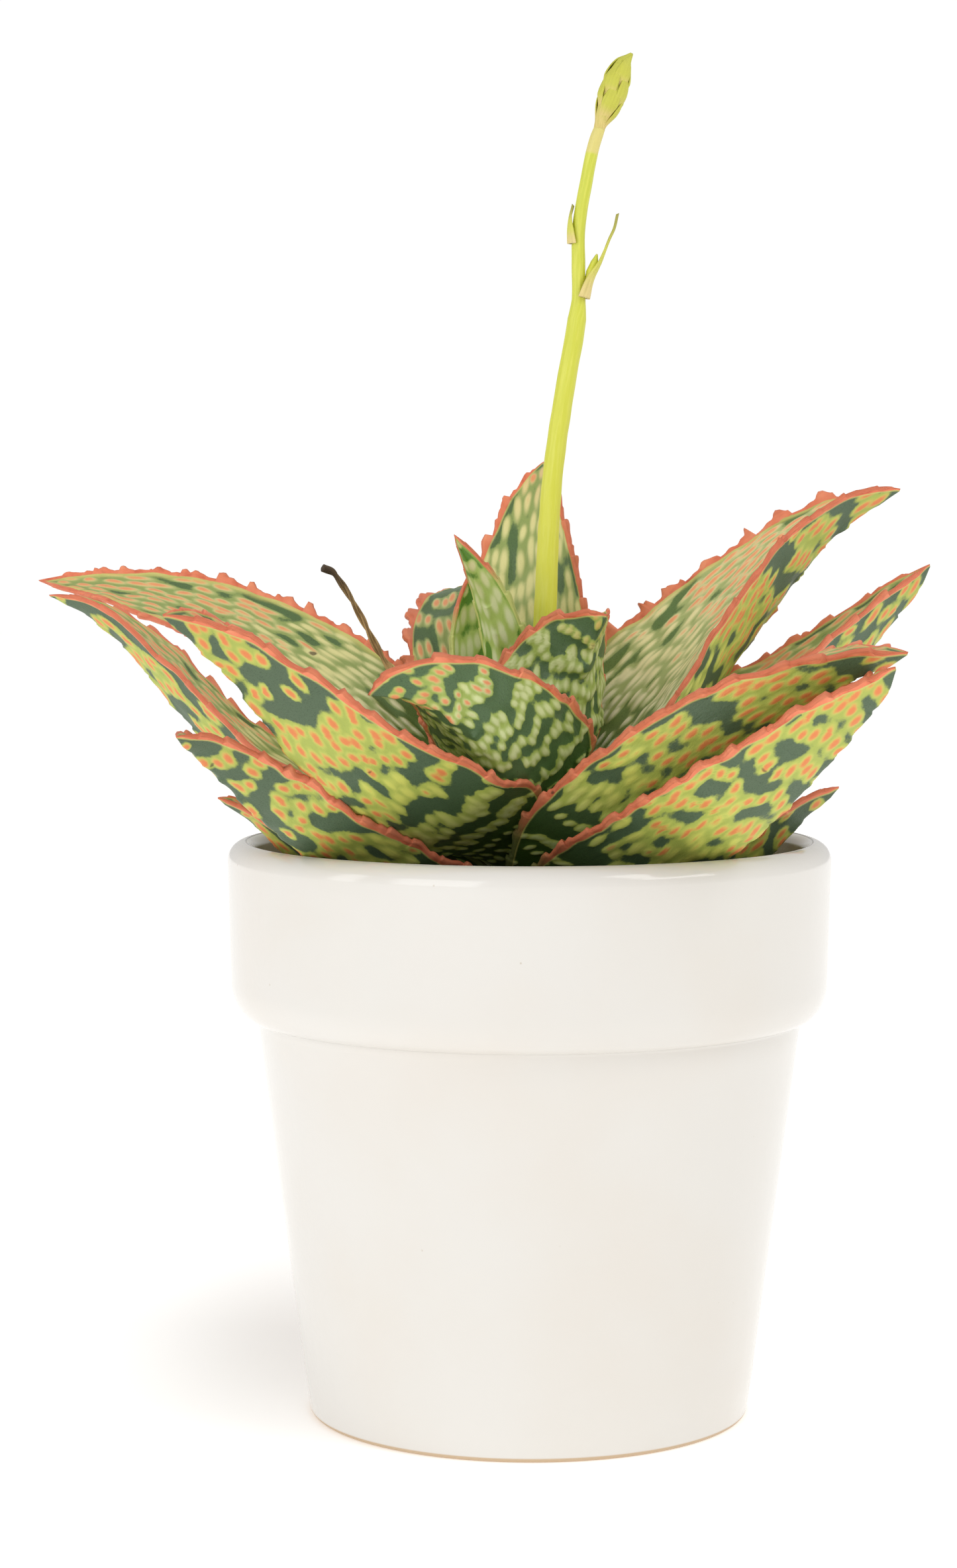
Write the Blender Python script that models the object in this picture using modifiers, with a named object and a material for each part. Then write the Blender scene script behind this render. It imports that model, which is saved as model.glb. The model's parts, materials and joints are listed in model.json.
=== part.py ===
"""Potted star aloe: a rosette of toothed leaves on a short stem, in flower, in a white glazed pot."""
import math
from dataclasses import dataclass

import bmesh
import bpy
import numpy as np
from mathutils import Vector

MM = 0.001

# Pot, in millimetres
POT_HEIGHT = 124.0
RIM_RADIUS = 64.9
RIM_OUTER_ROUNDING = 4.0
RIM_INNER_ROUNDING = 2.5
COLLAR_INNER_RADIUS = 58.9
COLLAR_LOW_RADIUS = 64.25
COLLAR_LOW_Z = 94.0
COLLAR_CORNER_DROP = 8.0
COLLAR_CORNER_INSET = 0.5
NECK_RADIUS = 58.4
NECK_Z = 84.0
NECK_FILLET = 0.6
SHOULDER_STEP = 0.6
SHOULDER_LOW_Z = 93.0
SHOULDER_HIGH_Z = 97.0
FOOT_BEND_RADIUS = 49.0
FOOT_BEND_Z = 11.0
FOOT_RADIUS = 47.5
FOOT_ROUNDING = 1.3
POT_WALL = 5.2
POT_FLOOR = 8.0
FLOOR_CURVE_START = 6.0
FLOOR_CURVE_END = 1.0
FLOOR_CURVE_RISE = 2.0
POT_SIDES = 48

# Soil and the short stem that carries the leaves. SOIL_SLOPE gives radius and height between middle and edge;
# SOIL_WAVES gives the wave numbers a millimetre along X and Y and the shift of each sine of the lumps.
GAP = 0.3
SOIL_EDGE_Z = 100.5
SOIL_EDGE_ROUNDING = 1.5
SOIL_EDGE_DROP = 1.2
SOIL_MIDDLE_Z = 104.0
SOIL_SLOPE = [(18.0, 103.6), (30.0, 102.5), (44.0, 101.1)]
SOIL_LUMP = 0.4
SOIL_WAVES = [(0.9, 0.4, 0.0), (0.5, -1.1, 1.3)]
SOIL_CALM_EDGE = 1.0
SOIL_SIDES = 32
CROWN_RADIUS = 7.0
CROWN_TOP_Z = 134.6
CROWN_FOOT_Z = 86.0
CROWN_SCAR = 0.25
CROWN_ROUNDING = 2.0
CROWN_SIDES = 16
CROWN_SCARS = 5

# Leaf sections
MARGIN_THICKNESS = 0.8
UPPER_POWER = 1.6
LOWER_POWER = 1.5
SPAN_LENGTH = 8.6
TOOTH_PLACE = 0.8
MARGIN_TOOTH = 1.4
KEEL_TOOTH = 0.7
KEEL_TOOTH_START = 0.25
FULL_TOOTH_HALF_WIDTH = 4.0
LEAST_TOOTH = 0.25
LEAF_SEED = 101
BASE_END = 0.32
TIP_START = 0.965
SHARP_ANGLE = math.radians(50)

# Flower stalk: its middle line from the crown to the head, and its thickness there
STALK_LINE = [(1.3, 2.0, 134.95), (3.3, 2.0, 170.3), (5.2, 2.0, 204.2), (8.0, 2.0, 223.1),
              (10.1, 2.0, 235.5), (10.45, 2.0, 239.5), (10.4, 2.0, 247.0), (10.45, 2.0, 254.5),
              (11.9, 2.0, 263.8), (14.3, 2.0, 274.4)]
STALK_RADIUS = [2.6, 2.45, 2.15, 2.05, 2.0, 1.45, 1.45, 1.4, 1.35, 1.3]
STALK_POINTS = 34

# Bracts of the stalk: the line along the back, then the arc's radius and half angle in degrees there
BRACT_THICKNESS = 0.6
LARGE_BRACT_LINE = [(12.9, 2.0, 239.7), (13.7, 2.0, 243.5), (15.4, 2.0, 247.4), (17.3, 2.0, 252.4),
                    (18.3, 2.0, 254.6), (19.0, 2.0, 257.6)]
LARGE_BRACT_ARC = [(2.45, 95), (2.6, 70), (2.2, 46), (1.4, 34), (0.9, 30), (0.7, 24)]
SMALL_BRACT_LINE = [(8.0, 2.0, 251.5), (8.0, 2.0, 254.6), (8.3, 2.0, 257.0), (8.95, 2.0, 259.6)]
SMALL_BRACT_ARC = [(2.45, 75), (2.45, 60), (2.2, 40), (1.4, 20)]

# Dried stalk of an earlier flower
DRIED_LINE = [(-8.2, 0.0, 133.0), (-12.0, 3.0, 138.0), (-23.0, 7.0, 153.0), (-30.5, 8.0, 161.0),
              (-36.5, 7.0, 172.0), (-40.8, 5.5, 179.4), (-42.5, 4.5, 181.6), (-44.5, 3.5, 182.4)]
DRIED_RADIUS = [0.8, 0.85, 0.85, 0.8, 0.75, 0.7, 1.0, 1.25]
DRIED_POINTS = 24

# Flower head
HEAD_LINE = [(14.6, 2.0, 275.4), (15.7, 2.0, 278.4), (17.2, 2.0, 281.9), (18.5, 2.0, 286.1), (20.1, 2.0, 289.6),
             (21.7, 2.0, 291.6)]
HEAD_RADIUS = [1.1, 1.7, 2.5, 2.4, 1.6, 0.35]
HEAD_SCALES = 12
HEAD_SIDES = 8
HEAD_RINGS = 7
GOLDEN_ANGLE = 137.5

# Scales of the head: the head's line in steps, how far along it the scales start and reach, and for the four
# rows of each scale how far it stands off and its half angle in degrees
HEAD_STEPS = 40
SCALE_FIRST = 2
SCALE_SPREAD = 24
SCALE_REACH = 15
SCALE_STAND = np.array([-0.15, 0.45, 0.55, 0.7])
SCALE_HALF_ANGLE = np.array([36.0, 48.0, 36.0, 8.0])
SCALE_THICKNESS = 0.65
SCALE_EXTRA_RADIUS = 0.4
SCALE_FULL_RADIUS = 2.6


@dataclass
class Leaf:
    """One leaf: angles in degrees, lengths in millimetres.

    rise is the slope of the middle line at 0, 35, 70 and 100 % of the length; sway turns it sideways
    towards the tip; cup is the lift of the margins over the channel, as a share of the half width.
    """
    name: str
    azimuth: float
    rise: tuple
    length: float
    width: float
    root_z: float
    sway: float = 0.0
    roll: float = 0.0
    twist: float = 0.0
    cup: float = 0.4
    taper: float = 1.9
    depth: float = 0.3
    root_radius: float = 7.4
    base_share: float = 0.5


LEAVES = [
    Leaf("leaf_left_rim", azimuth=198, rise=(17, 20, 37, 7), length=73, width=16, root_z=106.4, sway=26, roll=-31,
         twist=-1, cup=0.29, taper=1.6),
    Leaf("leaf_right_rim", azimuth=3, rise=(17, 20, 39, 16), length=67, width=20, root_z=106.8, sway=-5, roll=2,
         twist=-15, cup=0.28, taper=2.2),
    Leaf("leaf_left_low", azimuth=215, rise=(28, 21, 28, 3), length=108, width=27, root_z=110.3, sway=37, roll=-14,
         twist=8, cup=0.40, taper=2.7, depth=0.20),
    Leaf("leaf_right_low", azimuth=313, rise=(21, 27, 29, 24), length=119, width=38, root_z=111.5, sway=-17, roll=18,
         twist=3, cup=0.50, taper=2.0),
    Leaf("leaf_left_outer", azimuth=176, rise=(39, 26, 46, -2), length=117, width=22, root_z=116.8, sway=-9, roll=-2,
         twist=3, cup=0.25, taper=3.4, depth=0.24),
    Leaf("leaf_back_low", azimuth=79, rise=(21, 27, 31, 10), length=92, width=27, root_z=110.0, sway=0, roll=0,
         twist=0, cup=0.34, taper=1.9),
    Leaf("leaf_back_right", azimuth=49, rise=(30, 32, 13, 8), length=104, width=21, root_z=115.3, sway=0, roll=0,
         twist=0, cup=0.15, taper=1.8),
    Leaf("leaf_right_front", azimuth=305, rise=(35, 34, 23, -1), length=114, width=39, root_z=117.2, sway=17, roll=10,
         twist=-3, cup=0.24, taper=2.2),
    Leaf("leaf_left_front", azimuth=233, rise=(38, 22, 35, 3), length=120, width=39, root_z=121.8, sway=-3, roll=-16,
         twist=-4, cup=0.53, taper=1.5),
    Leaf("leaf_back_middle", azimuth=79, rise=(33, 40, 4, 10), length=93, width=21, root_z=119.2, sway=0, roll=-5,
         twist=0, cup=0.18, taper=1.9),
    Leaf("leaf_right_middle", azimuth=12, rise=(44, 31, 39, 37), length=104, width=30, root_z=122.0, sway=5, roll=7,
         twist=-13, cup=0.51, taper=2.5),
    Leaf("leaf_back_left", azimuth=134, rise=(31, 26, 21, 3), length=88, width=18, root_z=121.8, sway=0, roll=-26,
         twist=-3, cup=0.41, taper=2.0),
    Leaf("leaf_left_upper", azimuth=149, rise=(35, 31, 13, 2), length=142, width=28, root_z=126.7, sway=-4, roll=-20,
         twist=-20, cup=0.20, taper=2.3),
    Leaf("leaf_right_upper", azimuth=16, rise=(56, 49, 43, 3), length=106, width=40, root_z=129.3, sway=-9, roll=23,
         twist=-32, cup=0.40, taper=1.6),
    Leaf("leaf_front_curled", azimuth=265, rise=(39, 27, 23, -32), length=74, width=32, root_z=132.8, sway=-62, roll=2,
         twist=42, cup=0.33, taper=2.3),
    Leaf("leaf_left_curled", azimuth=132, rise=(45, 60, 32, -4), length=75, width=23, root_z=130.7, sway=-66, roll=2,
         twist=-16, cup=-0.01, taper=2.4),
    Leaf("leaf_back_tall", azimuth=89, rise=(66, 81, 67, 34), length=77, width=31, root_z=135.7, sway=-12, roll=-6,
         twist=-17, cup=0.30, taper=2.1),
    Leaf("leaf_heart_right", azimuth=300, rise=(69, 75, 48, 4), length=46, width=30, root_z=137.0, sway=2, roll=-1,
         twist=-3, cup=0.47, taper=2.0),
    Leaf("leaf_heart_left", azimuth=161, rise=(72, 71, 90, 106), length=49, width=15, root_z=135.2, sway=-2, roll=-24,
         twist=-11, cup=0.31, taper=1.8, root_radius=5.6),
    Leaf("leaf_heart_front", azimuth=233, rise=(84, 81, 56, 41), length=61, width=11, root_z=135.2, sway=2, roll=17,
         twist=10, cup=0.50, taper=2.3, root_radius=5.6),
]


def smooth(x):
    """Smooth step from 0 to 1."""
    x = np.clip(x, 0.0, 1.0)
    return x * x * (3.0 - 2.0 * x)


def smooth_line(points, count, values=None):
    """Points evenly spaced on a smooth curve through the given points, with values carried along."""
    pts = np.array(points, float)
    steps = np.concatenate([[0.0], np.cumsum(np.linalg.norm(np.diff(pts, axis=0), axis=1))])
    slopes = np.gradient(pts, steps, axis=0)
    at = np.linspace(0.0, steps[-1], count)
    k = np.clip(np.searchsorted(steps, at) - 1, 0, len(pts) - 2)
    span = (steps[k + 1] - steps[k])[:, None]
    u = (at - steps[k])[:, None] / span
    line = ((2 * u**3 - 3 * u**2 + 1) * pts[k] + (u**3 - 2 * u**2 + u) * span * slopes[k]
            + (3 * u**2 - 2 * u**3) * pts[k + 1] + (u**3 - u**2) * span * slopes[k + 1])
    if values is None:
        return line
    return line, np.interp(at, steps, values)


def clear_scene():
    """Remove what the start-up scene holds."""
    for obj in list(bpy.data.objects):
        bpy.data.objects.remove(obj)


def make_material(name, colour, roughness):
    """A plain material with one colour and roughness."""
    mat = bpy.data.materials.new(name)
    mat.use_nodes = True
    shader = mat.node_tree.nodes["Principled BSDF"]
    shader.inputs["Base Color"].default_value = (*colour, 1.0)
    shader.inputs["Roughness"].default_value = roughness
    shader.inputs["Metallic"].default_value = 0.0
    return mat


def add_object(name, mesh, collection, material):
    """Put a mesh with its material into the collection under its name."""
    mesh.materials.clear()
    mesh.materials.append(material)
    obj = bpy.data.objects.new(name, mesh)
    collection.objects.link(obj)
    return obj


def arc(centre_r, centre_z, half_r, half_z, start, end, count):
    """Points on an ellipse in the radius-height plane, from one angle to another in degrees."""
    angles = np.radians(np.linspace(start, end, count))
    return [(centre_r + half_r * math.cos(a), centre_z + half_z * math.sin(a)) for a in angles]


def turned(name, profile, sides, collection, material):
    """A profile of (radius, height) in millimetres, turned about +Z by a Screw modifier."""
    mesh = bpy.data.meshes.new(name)
    verts = [(r * MM, 0.0, z * MM) for r, z in profile]
    mesh.from_pydata(verts, [(i, i + 1) for i in range(len(verts) - 1)], [])
    obj = add_object(name, mesh, collection, material)
    screw = obj.modifiers.new("turn", "SCREW")
    screw.axis = "Z"
    screw.steps = sides
    screw.render_steps = sides
    screw.use_merge_vertices = True
    screw.merge_threshold = 0.00001
    return obj


def collar_corner():
    """The quarter ellipse under the collar, then the small fillet into the neck."""
    drop = COLLAR_LOW_Z - COLLAR_CORNER_DROP
    width = COLLAR_LOW_RADIUS - NECK_RADIUS - COLLAR_CORNER_INSET
    corner = arc(COLLAR_LOW_RADIUS - width, COLLAR_LOW_Z, width, COLLAR_CORNER_DROP, 0, -75, 6)
    return corner + [(NECK_RADIUS + NECK_FILLET, drop + 0.1), (NECK_RADIUS, NECK_Z)]


def pot_profile():
    """The pot's wall from the middle of the inner floor, up over the rim and down to the middle of the foot."""
    inner_foot = FOOT_BEND_RADIUS - POT_WALL
    inner_floor = [(0.0, POT_FLOOR), (inner_foot - FLOOR_CURVE_START, POT_FLOOR),
                   (inner_foot - FLOOR_CURVE_END, POT_FLOOR + FLOOR_CURVE_RISE)]
    inner_wall = [(NECK_RADIUS - POT_WALL, NECK_Z), (COLLAR_INNER_RADIUS - SHOULDER_STEP, SHOULDER_LOW_Z),
                  (COLLAR_INNER_RADIUS, SHOULDER_HIGH_Z)]
    rim = arc(COLLAR_INNER_RADIUS + RIM_INNER_ROUNDING, POT_HEIGHT - RIM_INNER_ROUNDING, RIM_INNER_ROUNDING,
              RIM_INNER_ROUNDING, 180, 90, 4)
    rim += arc(RIM_RADIUS - RIM_OUTER_ROUNDING, POT_HEIGHT - RIM_OUTER_ROUNDING, RIM_OUTER_ROUNDING,
               RIM_OUTER_ROUNDING, 80, 0, 6)
    foot = [(FOOT_BEND_RADIUS, FOOT_BEND_Z)]
    foot += arc(FOOT_RADIUS - FOOT_ROUNDING, FOOT_ROUNDING, FOOT_ROUNDING, FOOT_ROUNDING, 0, -90, 4)
    return inner_floor + inner_wall + rim + collar_corner() + foot + [(0.0, 0.0)]


def soil_profile():
    """Soil with a plain hole for the stem, kept clear of the pot's inside by the gap."""
    hole = CROWN_RADIUS + GAP
    edge = COLLAR_INNER_RADIUS - GAP
    inner_foot = FOOT_BEND_RADIUS - POT_WALL
    top = [(hole, SOIL_MIDDLE_Z)] + SOIL_SLOPE + [(edge - SOIL_EDGE_ROUNDING, SOIL_EDGE_Z)]
    side = [(edge, SOIL_EDGE_Z - SOIL_EDGE_DROP), (edge, SHOULDER_HIGH_Z), (edge - SHOULDER_STEP, SHOULDER_LOW_Z),
            (NECK_RADIUS - POT_WALL - GAP, NECK_Z),
            (inner_foot - FLOOR_CURVE_END - GAP, POT_FLOOR + FLOOR_CURVE_RISE + GAP),
            (inner_foot - FLOOR_CURVE_START, POT_FLOOR + GAP), (0.0, POT_FLOOR + GAP)]
    return [(0.0, CROWN_FOOT_Z - GAP), (hole, CROWN_FOOT_Z - GAP)] + top + side


def crown_profile():
    """The short stem, ringed by the scars of old leaves."""
    count = CROWN_SCARS * 2
    heights = np.linspace(CROWN_TOP_Z - CROWN_ROUNDING, CROWN_FOOT_Z + CROWN_ROUNDING, count + 1)
    side = [(CROWN_RADIUS - CROWN_SCAR * (i % 2), z) for i, z in enumerate(heights)]
    top = [(0.0, CROWN_TOP_Z), (CROWN_RADIUS, CROWN_TOP_Z)]
    return top + side + [(CROWN_RADIUS - CROWN_ROUNDING, CROWN_FOOT_Z), (0.0, CROWN_FOOT_Z)]


def bake_modifiers(obj):
    """Replace an object's mesh by its evaluated one, with the modifiers gone."""
    graph = bpy.context.evaluated_depsgraph_get()
    mesh = bpy.data.meshes.new_from_object(obj.evaluated_get(graph))
    obj.modifiers.clear()
    obj.data = mesh


def roughen_soil(obj):
    """Lift the top of the soil by small lumps, away from its edges."""
    bake_modifiers(obj)
    for v in obj.data.vertices:
        x, y, z = v.co / MM
        free = CROWN_RADIUS + SOIL_CALM_EDGE < math.hypot(x, y) < COLLAR_INNER_RADIUS - SOIL_CALM_EDGE
        if free and z > SOIL_EDGE_Z - SOIL_EDGE_DROP / 2:
            lump = sum(math.sin(a * x + b * y + shift) for a, b, shift in SOIL_WAVES)
            v.co.z += SOIL_LUMP * lump * MM


def leaf_frame(leaf, t):
    """Middle line of a leaf with its unit vectors along, to the left and up, at the shares t of its length."""
    fine = np.linspace(0.0, 1.0, 241)
    knots = [0.0, 0.35, 0.7, 1.0]
    slope = np.radians(np.polyval(np.polyfit(knots, leaf.rise, 3), fine))
    heading = np.radians(leaf.azimuth + leaf.sway * fine**1.5)
    along = np.stack([np.cos(slope) * np.cos(heading), np.cos(slope) * np.sin(heading), np.sin(slope)], 1)
    start = math.radians(leaf.azimuth)
    root = np.array([leaf.root_radius * math.cos(start), leaf.root_radius * math.sin(start), leaf.root_z])
    steps = (along[1:] + along[:-1]) / 2 * leaf.length / 240
    line = root + np.concatenate([np.zeros((1, 3)), np.cumsum(steps, axis=0)])
    left = np.stack([-np.sin(heading), np.cos(heading), np.zeros_like(heading)], 1)
    up = np.cross(along, left)
    turn = np.radians(leaf.roll * smooth(fine / 0.3) + leaf.twist * fine**1.3)[:, None]
    left, up = left * np.cos(turn) + up * np.sin(turn), up * np.cos(turn) - left * np.sin(turn)

    def at(values):
        return np.stack([np.interp(t, fine, values[:, k]) for k in range(3)], 1)
    return at(line), at(along), at(left), at(up)


def leaf_sizes(leaf, t):
    """Half width, lift of the margins and depth of the keel at the shares t of the length."""
    def share(s):
        swell = leaf.base_share + (1 - leaf.base_share) * np.sin(math.pi / 2 * np.clip(s / BASE_END, 0, 1))
        return swell * np.clip(1 - np.clip(s, 1e-9, 1)**leaf.taper, 0, 1)**0.95
    f = share(t) / share(np.linspace(0, 1, 61)).max()
    half = leaf.width / 2 * f
    lift = leaf.cup * half * (0.45 + 0.55 * smooth(t / 0.25))
    keel = (leaf.depth * leaf.width / 2 + 0.25 * half) * f**0.55 * (0.55 + 0.45 * smooth(t / 0.3))
    return half, lift, keel


def leaf_section(half, lift, keel):
    """Ten points of each section: across and up, from the left margin over the channel, back along the keel."""
    across = np.array([1, 0.55, 0, -0.55, -1, -1, -0.55, 0, 0.55, 1.0])
    rise = lift[:, None] * np.abs(across[:5])**UPPER_POWER
    fall = (lift + keel)[:, None] * np.abs(across[5:])**LOWER_POWER - keel[:, None] - MARGIN_THICKNESS
    return half[:, None] * across, np.concatenate([rise, fall], axis=1)


TOOTHED = (0, 4, 5, 7, 9)


def leaf_mesh(leaf):
    """Loft of the sections, with one sawtooth a span on both margins and on the outer keel."""
    spans = max(8, round(leaf.length / SPAN_LENGTH))
    t = np.linspace(0.0, TIP_START, spans + 1)
    mid = t[:-1] + TOOTH_PLACE * np.diff(t)
    rng = np.random.default_rng(len(leaf.name) * LEAF_SEED + round(leaf.azimuth))
    rings, peaks = [], []
    for place, tooth in ((t, False), (mid, True)):
        line, _, left, up = leaf_frame(leaf, place)
        half, lift, keel = leaf_sizes(leaf, place)
        across, rise = leaf_section(half, lift, keel)
        if tooth:
            fade = np.clip(half / FULL_TOOTH_HALF_WIDTH, LEAST_TOOTH, 1.0)
            for column in (0, 4):
                size = MARGIN_TOOTH * fade * rng.uniform(0.6, 1.0, len(place))
                other = 9 if column == 0 else 5
                across[:, column] += size * np.sign(across[:, column])
                across[:, other] = across[:, column]
            rise[:, 7] -= KEEL_TOOTH * fade * smooth((place - KEEL_TOOTH_START) / 0.3)
        points = line[:, None] + left[:, None] * across[..., None] + up[:, None] * rise[..., None]
        (peaks if tooth else rings).append(points)
    return loft(leaf.name, rings[0], peaks[0], leaf_frame(leaf, np.array([1.0]))[0][0])


def loft(name, rings, peaks, tip):
    """Skin of the rings, with extra tooth points between rings on the toothed columns, and a pointed tip."""
    count, columns, _ = rings.shape
    bm = bmesh.new()
    ring = [[bm.verts.new(Vector(p) * MM) for p in row] for row in rings]
    peak = [{c: bm.verts.new(Vector(row[c]) * MM) for c in TOOTHED} for row in peaks]
    for k in range(count - 1):
        for a in range(columns):
            b = (a + 1) % columns
            a0, a1, b0, b1 = ring[k][a], ring[k + 1][a], ring[k][b], ring[k + 1][b]
            pa, pb = peak[k].get(a), peak[k].get(b)
            if pa and pb:
                faces = [(a0, b0, pb), (a0, pb, pa), (pa, pb, b1), (pa, b1, a1)]
            elif pa:
                faces = [(a0, b0, pa), (pa, b0, b1), (pa, b1, a1)]
            elif pb:
                faces = [(a0, b0, pb), (a0, pb, a1), (a1, pb, b1)]
            else:
                faces = [(a0, b0, b1), (a0, b1, a1)]
            for face in faces:
                bm.faces.new(face)
    end = bm.verts.new(Vector(tip) * MM)
    middle = bm.verts.new(Vector(rings[0].mean(axis=0)) * MM)
    for a in range(columns):
        b = (a + 1) % columns
        bm.faces.new((ring[-1][a], ring[-1][b], end))
        bm.faces.new((ring[0][b], ring[0][a], middle))
    bmesh.ops.recalc_face_normals(bm, faces=bm.faces)
    mesh = bpy.data.meshes.new(name)
    bm.to_mesh(mesh)
    bm.free()
    return mesh


def shade_round(obj):
    """Shade a round piece smooth, with its sharp edges kept."""
    obj.data.shade_smooth()
    obj.data.set_sharp_from_angle(angle=SHARP_ANGLE)


def tube_mesh(name, line, radii, resolution):
    """A tube along a POLY curve with its own radius at each point and welded caps, as a mesh."""
    curve = bpy.data.curves.new(name, "CURVE")
    curve.dimensions = "3D"
    curve.bevel_depth = MM
    curve.bevel_resolution = resolution
    curve.use_fill_caps = True
    spline = curve.splines.new("POLY")
    spline.points.add(len(line) - 1)
    for point, place, radius in zip(spline.points, line, radii):
        point.co = (*(np.array(place) * MM), 1.0)
        point.radius = radius
    obj = bpy.data.objects.new(name, curve)
    bpy.context.scene.collection.objects.link(obj)
    graph = bpy.context.evaluated_depsgraph_get()
    mesh = bpy.data.meshes.new_from_object(obj.evaluated_get(graph))
    bpy.data.objects.remove(obj)
    bm = bmesh.new()
    bm.from_mesh(mesh)
    bmesh.ops.remove_doubles(bm, verts=bm.verts, dist=0.00001)
    bmesh.ops.recalc_face_normals(bm, faces=bm.faces)
    bm.to_mesh(mesh)
    bm.free()
    return mesh


def curved_blade(name, line, outward, radius, half_angle, thickness, columns=7):
    """A pointed blade whose sections are arcs that curl round what it clasps.

    line runs along the back of the blade; outward points away from what it clasps; radius and half_angle
    give the arc of each section.
    """
    along = np.gradient(line, axis=0)
    along /= np.linalg.norm(along, axis=1)[:, None]
    side = np.cross(along, outward)
    side /= np.linalg.norm(side, axis=1)[:, None]
    out = np.cross(side, along)
    turn = np.radians(half_angle)[:, None] * np.linspace(-1, 1, columns)
    outer_r = radius[:, None]
    inner_r = outer_r - thickness
    outer = np.stack([outer_r * np.sin(turn), outer_r * (np.cos(turn) - 1)], -1)
    inner = np.stack([inner_r * np.sin(turn), inner_r * np.cos(turn) - outer_r], -1)
    section = np.concatenate([outer, inner[:, ::-1]], axis=1)
    rings = line[:, None] + side[:, None] * section[..., :1] + out[:, None] * section[..., 1:]
    bm = bmesh.new()
    ring = [[bm.verts.new(Vector(p) * MM) for p in row] for row in rings]
    n = columns * 2
    for k in range(len(ring) - 1):
        for a in range(n):
            b = (a + 1) % n
            bm.faces.new((ring[k][a], ring[k][b], ring[k + 1][b], ring[k + 1][a]))
    for row in (ring[0], ring[-1]):
        for a in range(columns - 1):
            bm.faces.new((row[a], row[a + 1], row[n - 2 - a], row[n - 1 - a]))
    bmesh.ops.triangulate(bm, faces=bm.faces)
    bmesh.ops.recalc_face_normals(bm, faces=bm.faces)
    mesh = bpy.data.meshes.new(name)
    bm.to_mesh(mesh)
    bm.free()
    return mesh


def make_bract(name, points, arcs, count, collection, material, away):
    """A bract of the stalk: the points run along its back, with the arc radius and half angle at each."""
    line, radius = smooth_line(points, count, [r for r, _ in arcs])
    _, angle = smooth_line(points, count, [a for _, a in arcs])
    outward = np.tile(np.array(away), (count, 1))
    blade = curved_blade(name, line, outward, radius, angle, BRACT_THICKNESS)
    return add_object(name, blade, collection, material)


def head_core():
    """The flower head's core: a closed spindle of rings along its bent middle line."""
    line, radius = smooth_line(HEAD_LINE, HEAD_RINGS, np.array(HEAD_RADIUS))
    bm = bmesh.new()
    along = np.gradient(line, axis=0)
    ring = []
    for place, direction, r in zip(line, along, radius):
        turn = Vector((0, 0, 1)).rotation_difference(Vector(direction).normalized())
        row = []
        for k in range(HEAD_SIDES):
            a = 2 * math.pi * k / HEAD_SIDES
            row.append(bm.verts.new((Vector(place) + turn @ Vector((r * math.cos(a), r * math.sin(a), 0))) * MM))
        ring.append(row)
    for low, high in zip(ring[:-1], ring[1:]):
        for k in range(HEAD_SIDES):
            j = (k + 1) % HEAD_SIDES
            bm.faces.new((low[k], low[j], high[j], high[k]))
    bm.faces.new(ring[0][::-1])
    bm.faces.new(ring[-1])
    bmesh.ops.triangulate(bm, faces=bm.faces)
    bmesh.ops.recalc_face_normals(bm, faces=bm.faces)
    mesh = bpy.data.meshes.new("flower_head")
    bm.to_mesh(mesh)
    bm.free()
    return mesh


def keep_outer_shell(mesh):
    """Drop what a union leaves apart: sealed hollows inside and loose scraps."""
    bm = bmesh.new()
    bm.from_mesh(mesh)
    left = set(bm.verts)
    shells = []
    while left:
        shell, edge = set(), [left.pop()]
        while edge:
            vert = edge.pop()
            shell.add(vert)
            near = [e.other_vert(vert) for e in vert.link_edges]
            edge += [v for v in near if v in left]
            left.difference_update(near)
        shells.append(shell)
    outer = max(shells, key=len)
    bmesh.ops.delete(bm, geom=[v for v in bm.verts if v not in outer], context="VERTS")
    bm.to_mesh(mesh)
    bm.free()


def make_head(collection, material):
    """The closed flower head: scales placed by the golden angle round a core, joined to it as one solid."""
    core = add_object("flower_head", head_core(), collection, material)
    scales = bpy.data.collections.new("head_scales")
    bpy.context.scene.collection.children.link(scales)
    line, radius = smooth_line(HEAD_LINE, HEAD_STEPS, np.array(HEAD_RADIUS))
    along = np.gradient(line, axis=0)
    along /= np.linalg.norm(along, axis=1)[:, None]
    for k in range(HEAD_SCALES):
        start = int(SCALE_FIRST + SCALE_SPREAD * k / HEAD_SCALES)
        reach = np.linspace(start, start + SCALE_REACH, len(SCALE_STAND))
        rows = np.clip(np.round(reach).astype(int), 0, HEAD_STEPS - 1)
        angle = math.radians(GOLDEN_ANGLE * k)
        out = np.array([math.cos(angle), math.sin(angle), 0.0])
        base = out - along[rows] * (along[rows] @ out)[:, None]
        base /= np.linalg.norm(base, axis=1)[:, None]
        back = line[rows] + base * (radius[rows] + SCALE_STAND)[:, None]
        arc_radius = np.maximum(radius[rows], 1.0) + SCALE_EXTRA_RADIUS
        half_angle = SCALE_HALF_ANGLE * np.minimum(1.0, SCALE_FULL_RADIUS / arc_radius)
        mesh = curved_blade(f"scale_{k}", back, base, arc_radius, half_angle, SCALE_THICKNESS, columns=4)
        add_object(f"scale_{k}", mesh, scales, material)
    join = core.modifiers.new("join", "BOOLEAN")
    join.operation = "UNION"
    join.operand_type = "COLLECTION"
    join.collection = scales
    join.solver = "EXACT"
    bake_modifiers(core)
    keep_outer_shell(core.data)
    for obj in list(scales.objects):
        bpy.data.objects.remove(obj)
    bpy.data.collections.remove(scales)
    return core


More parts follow.
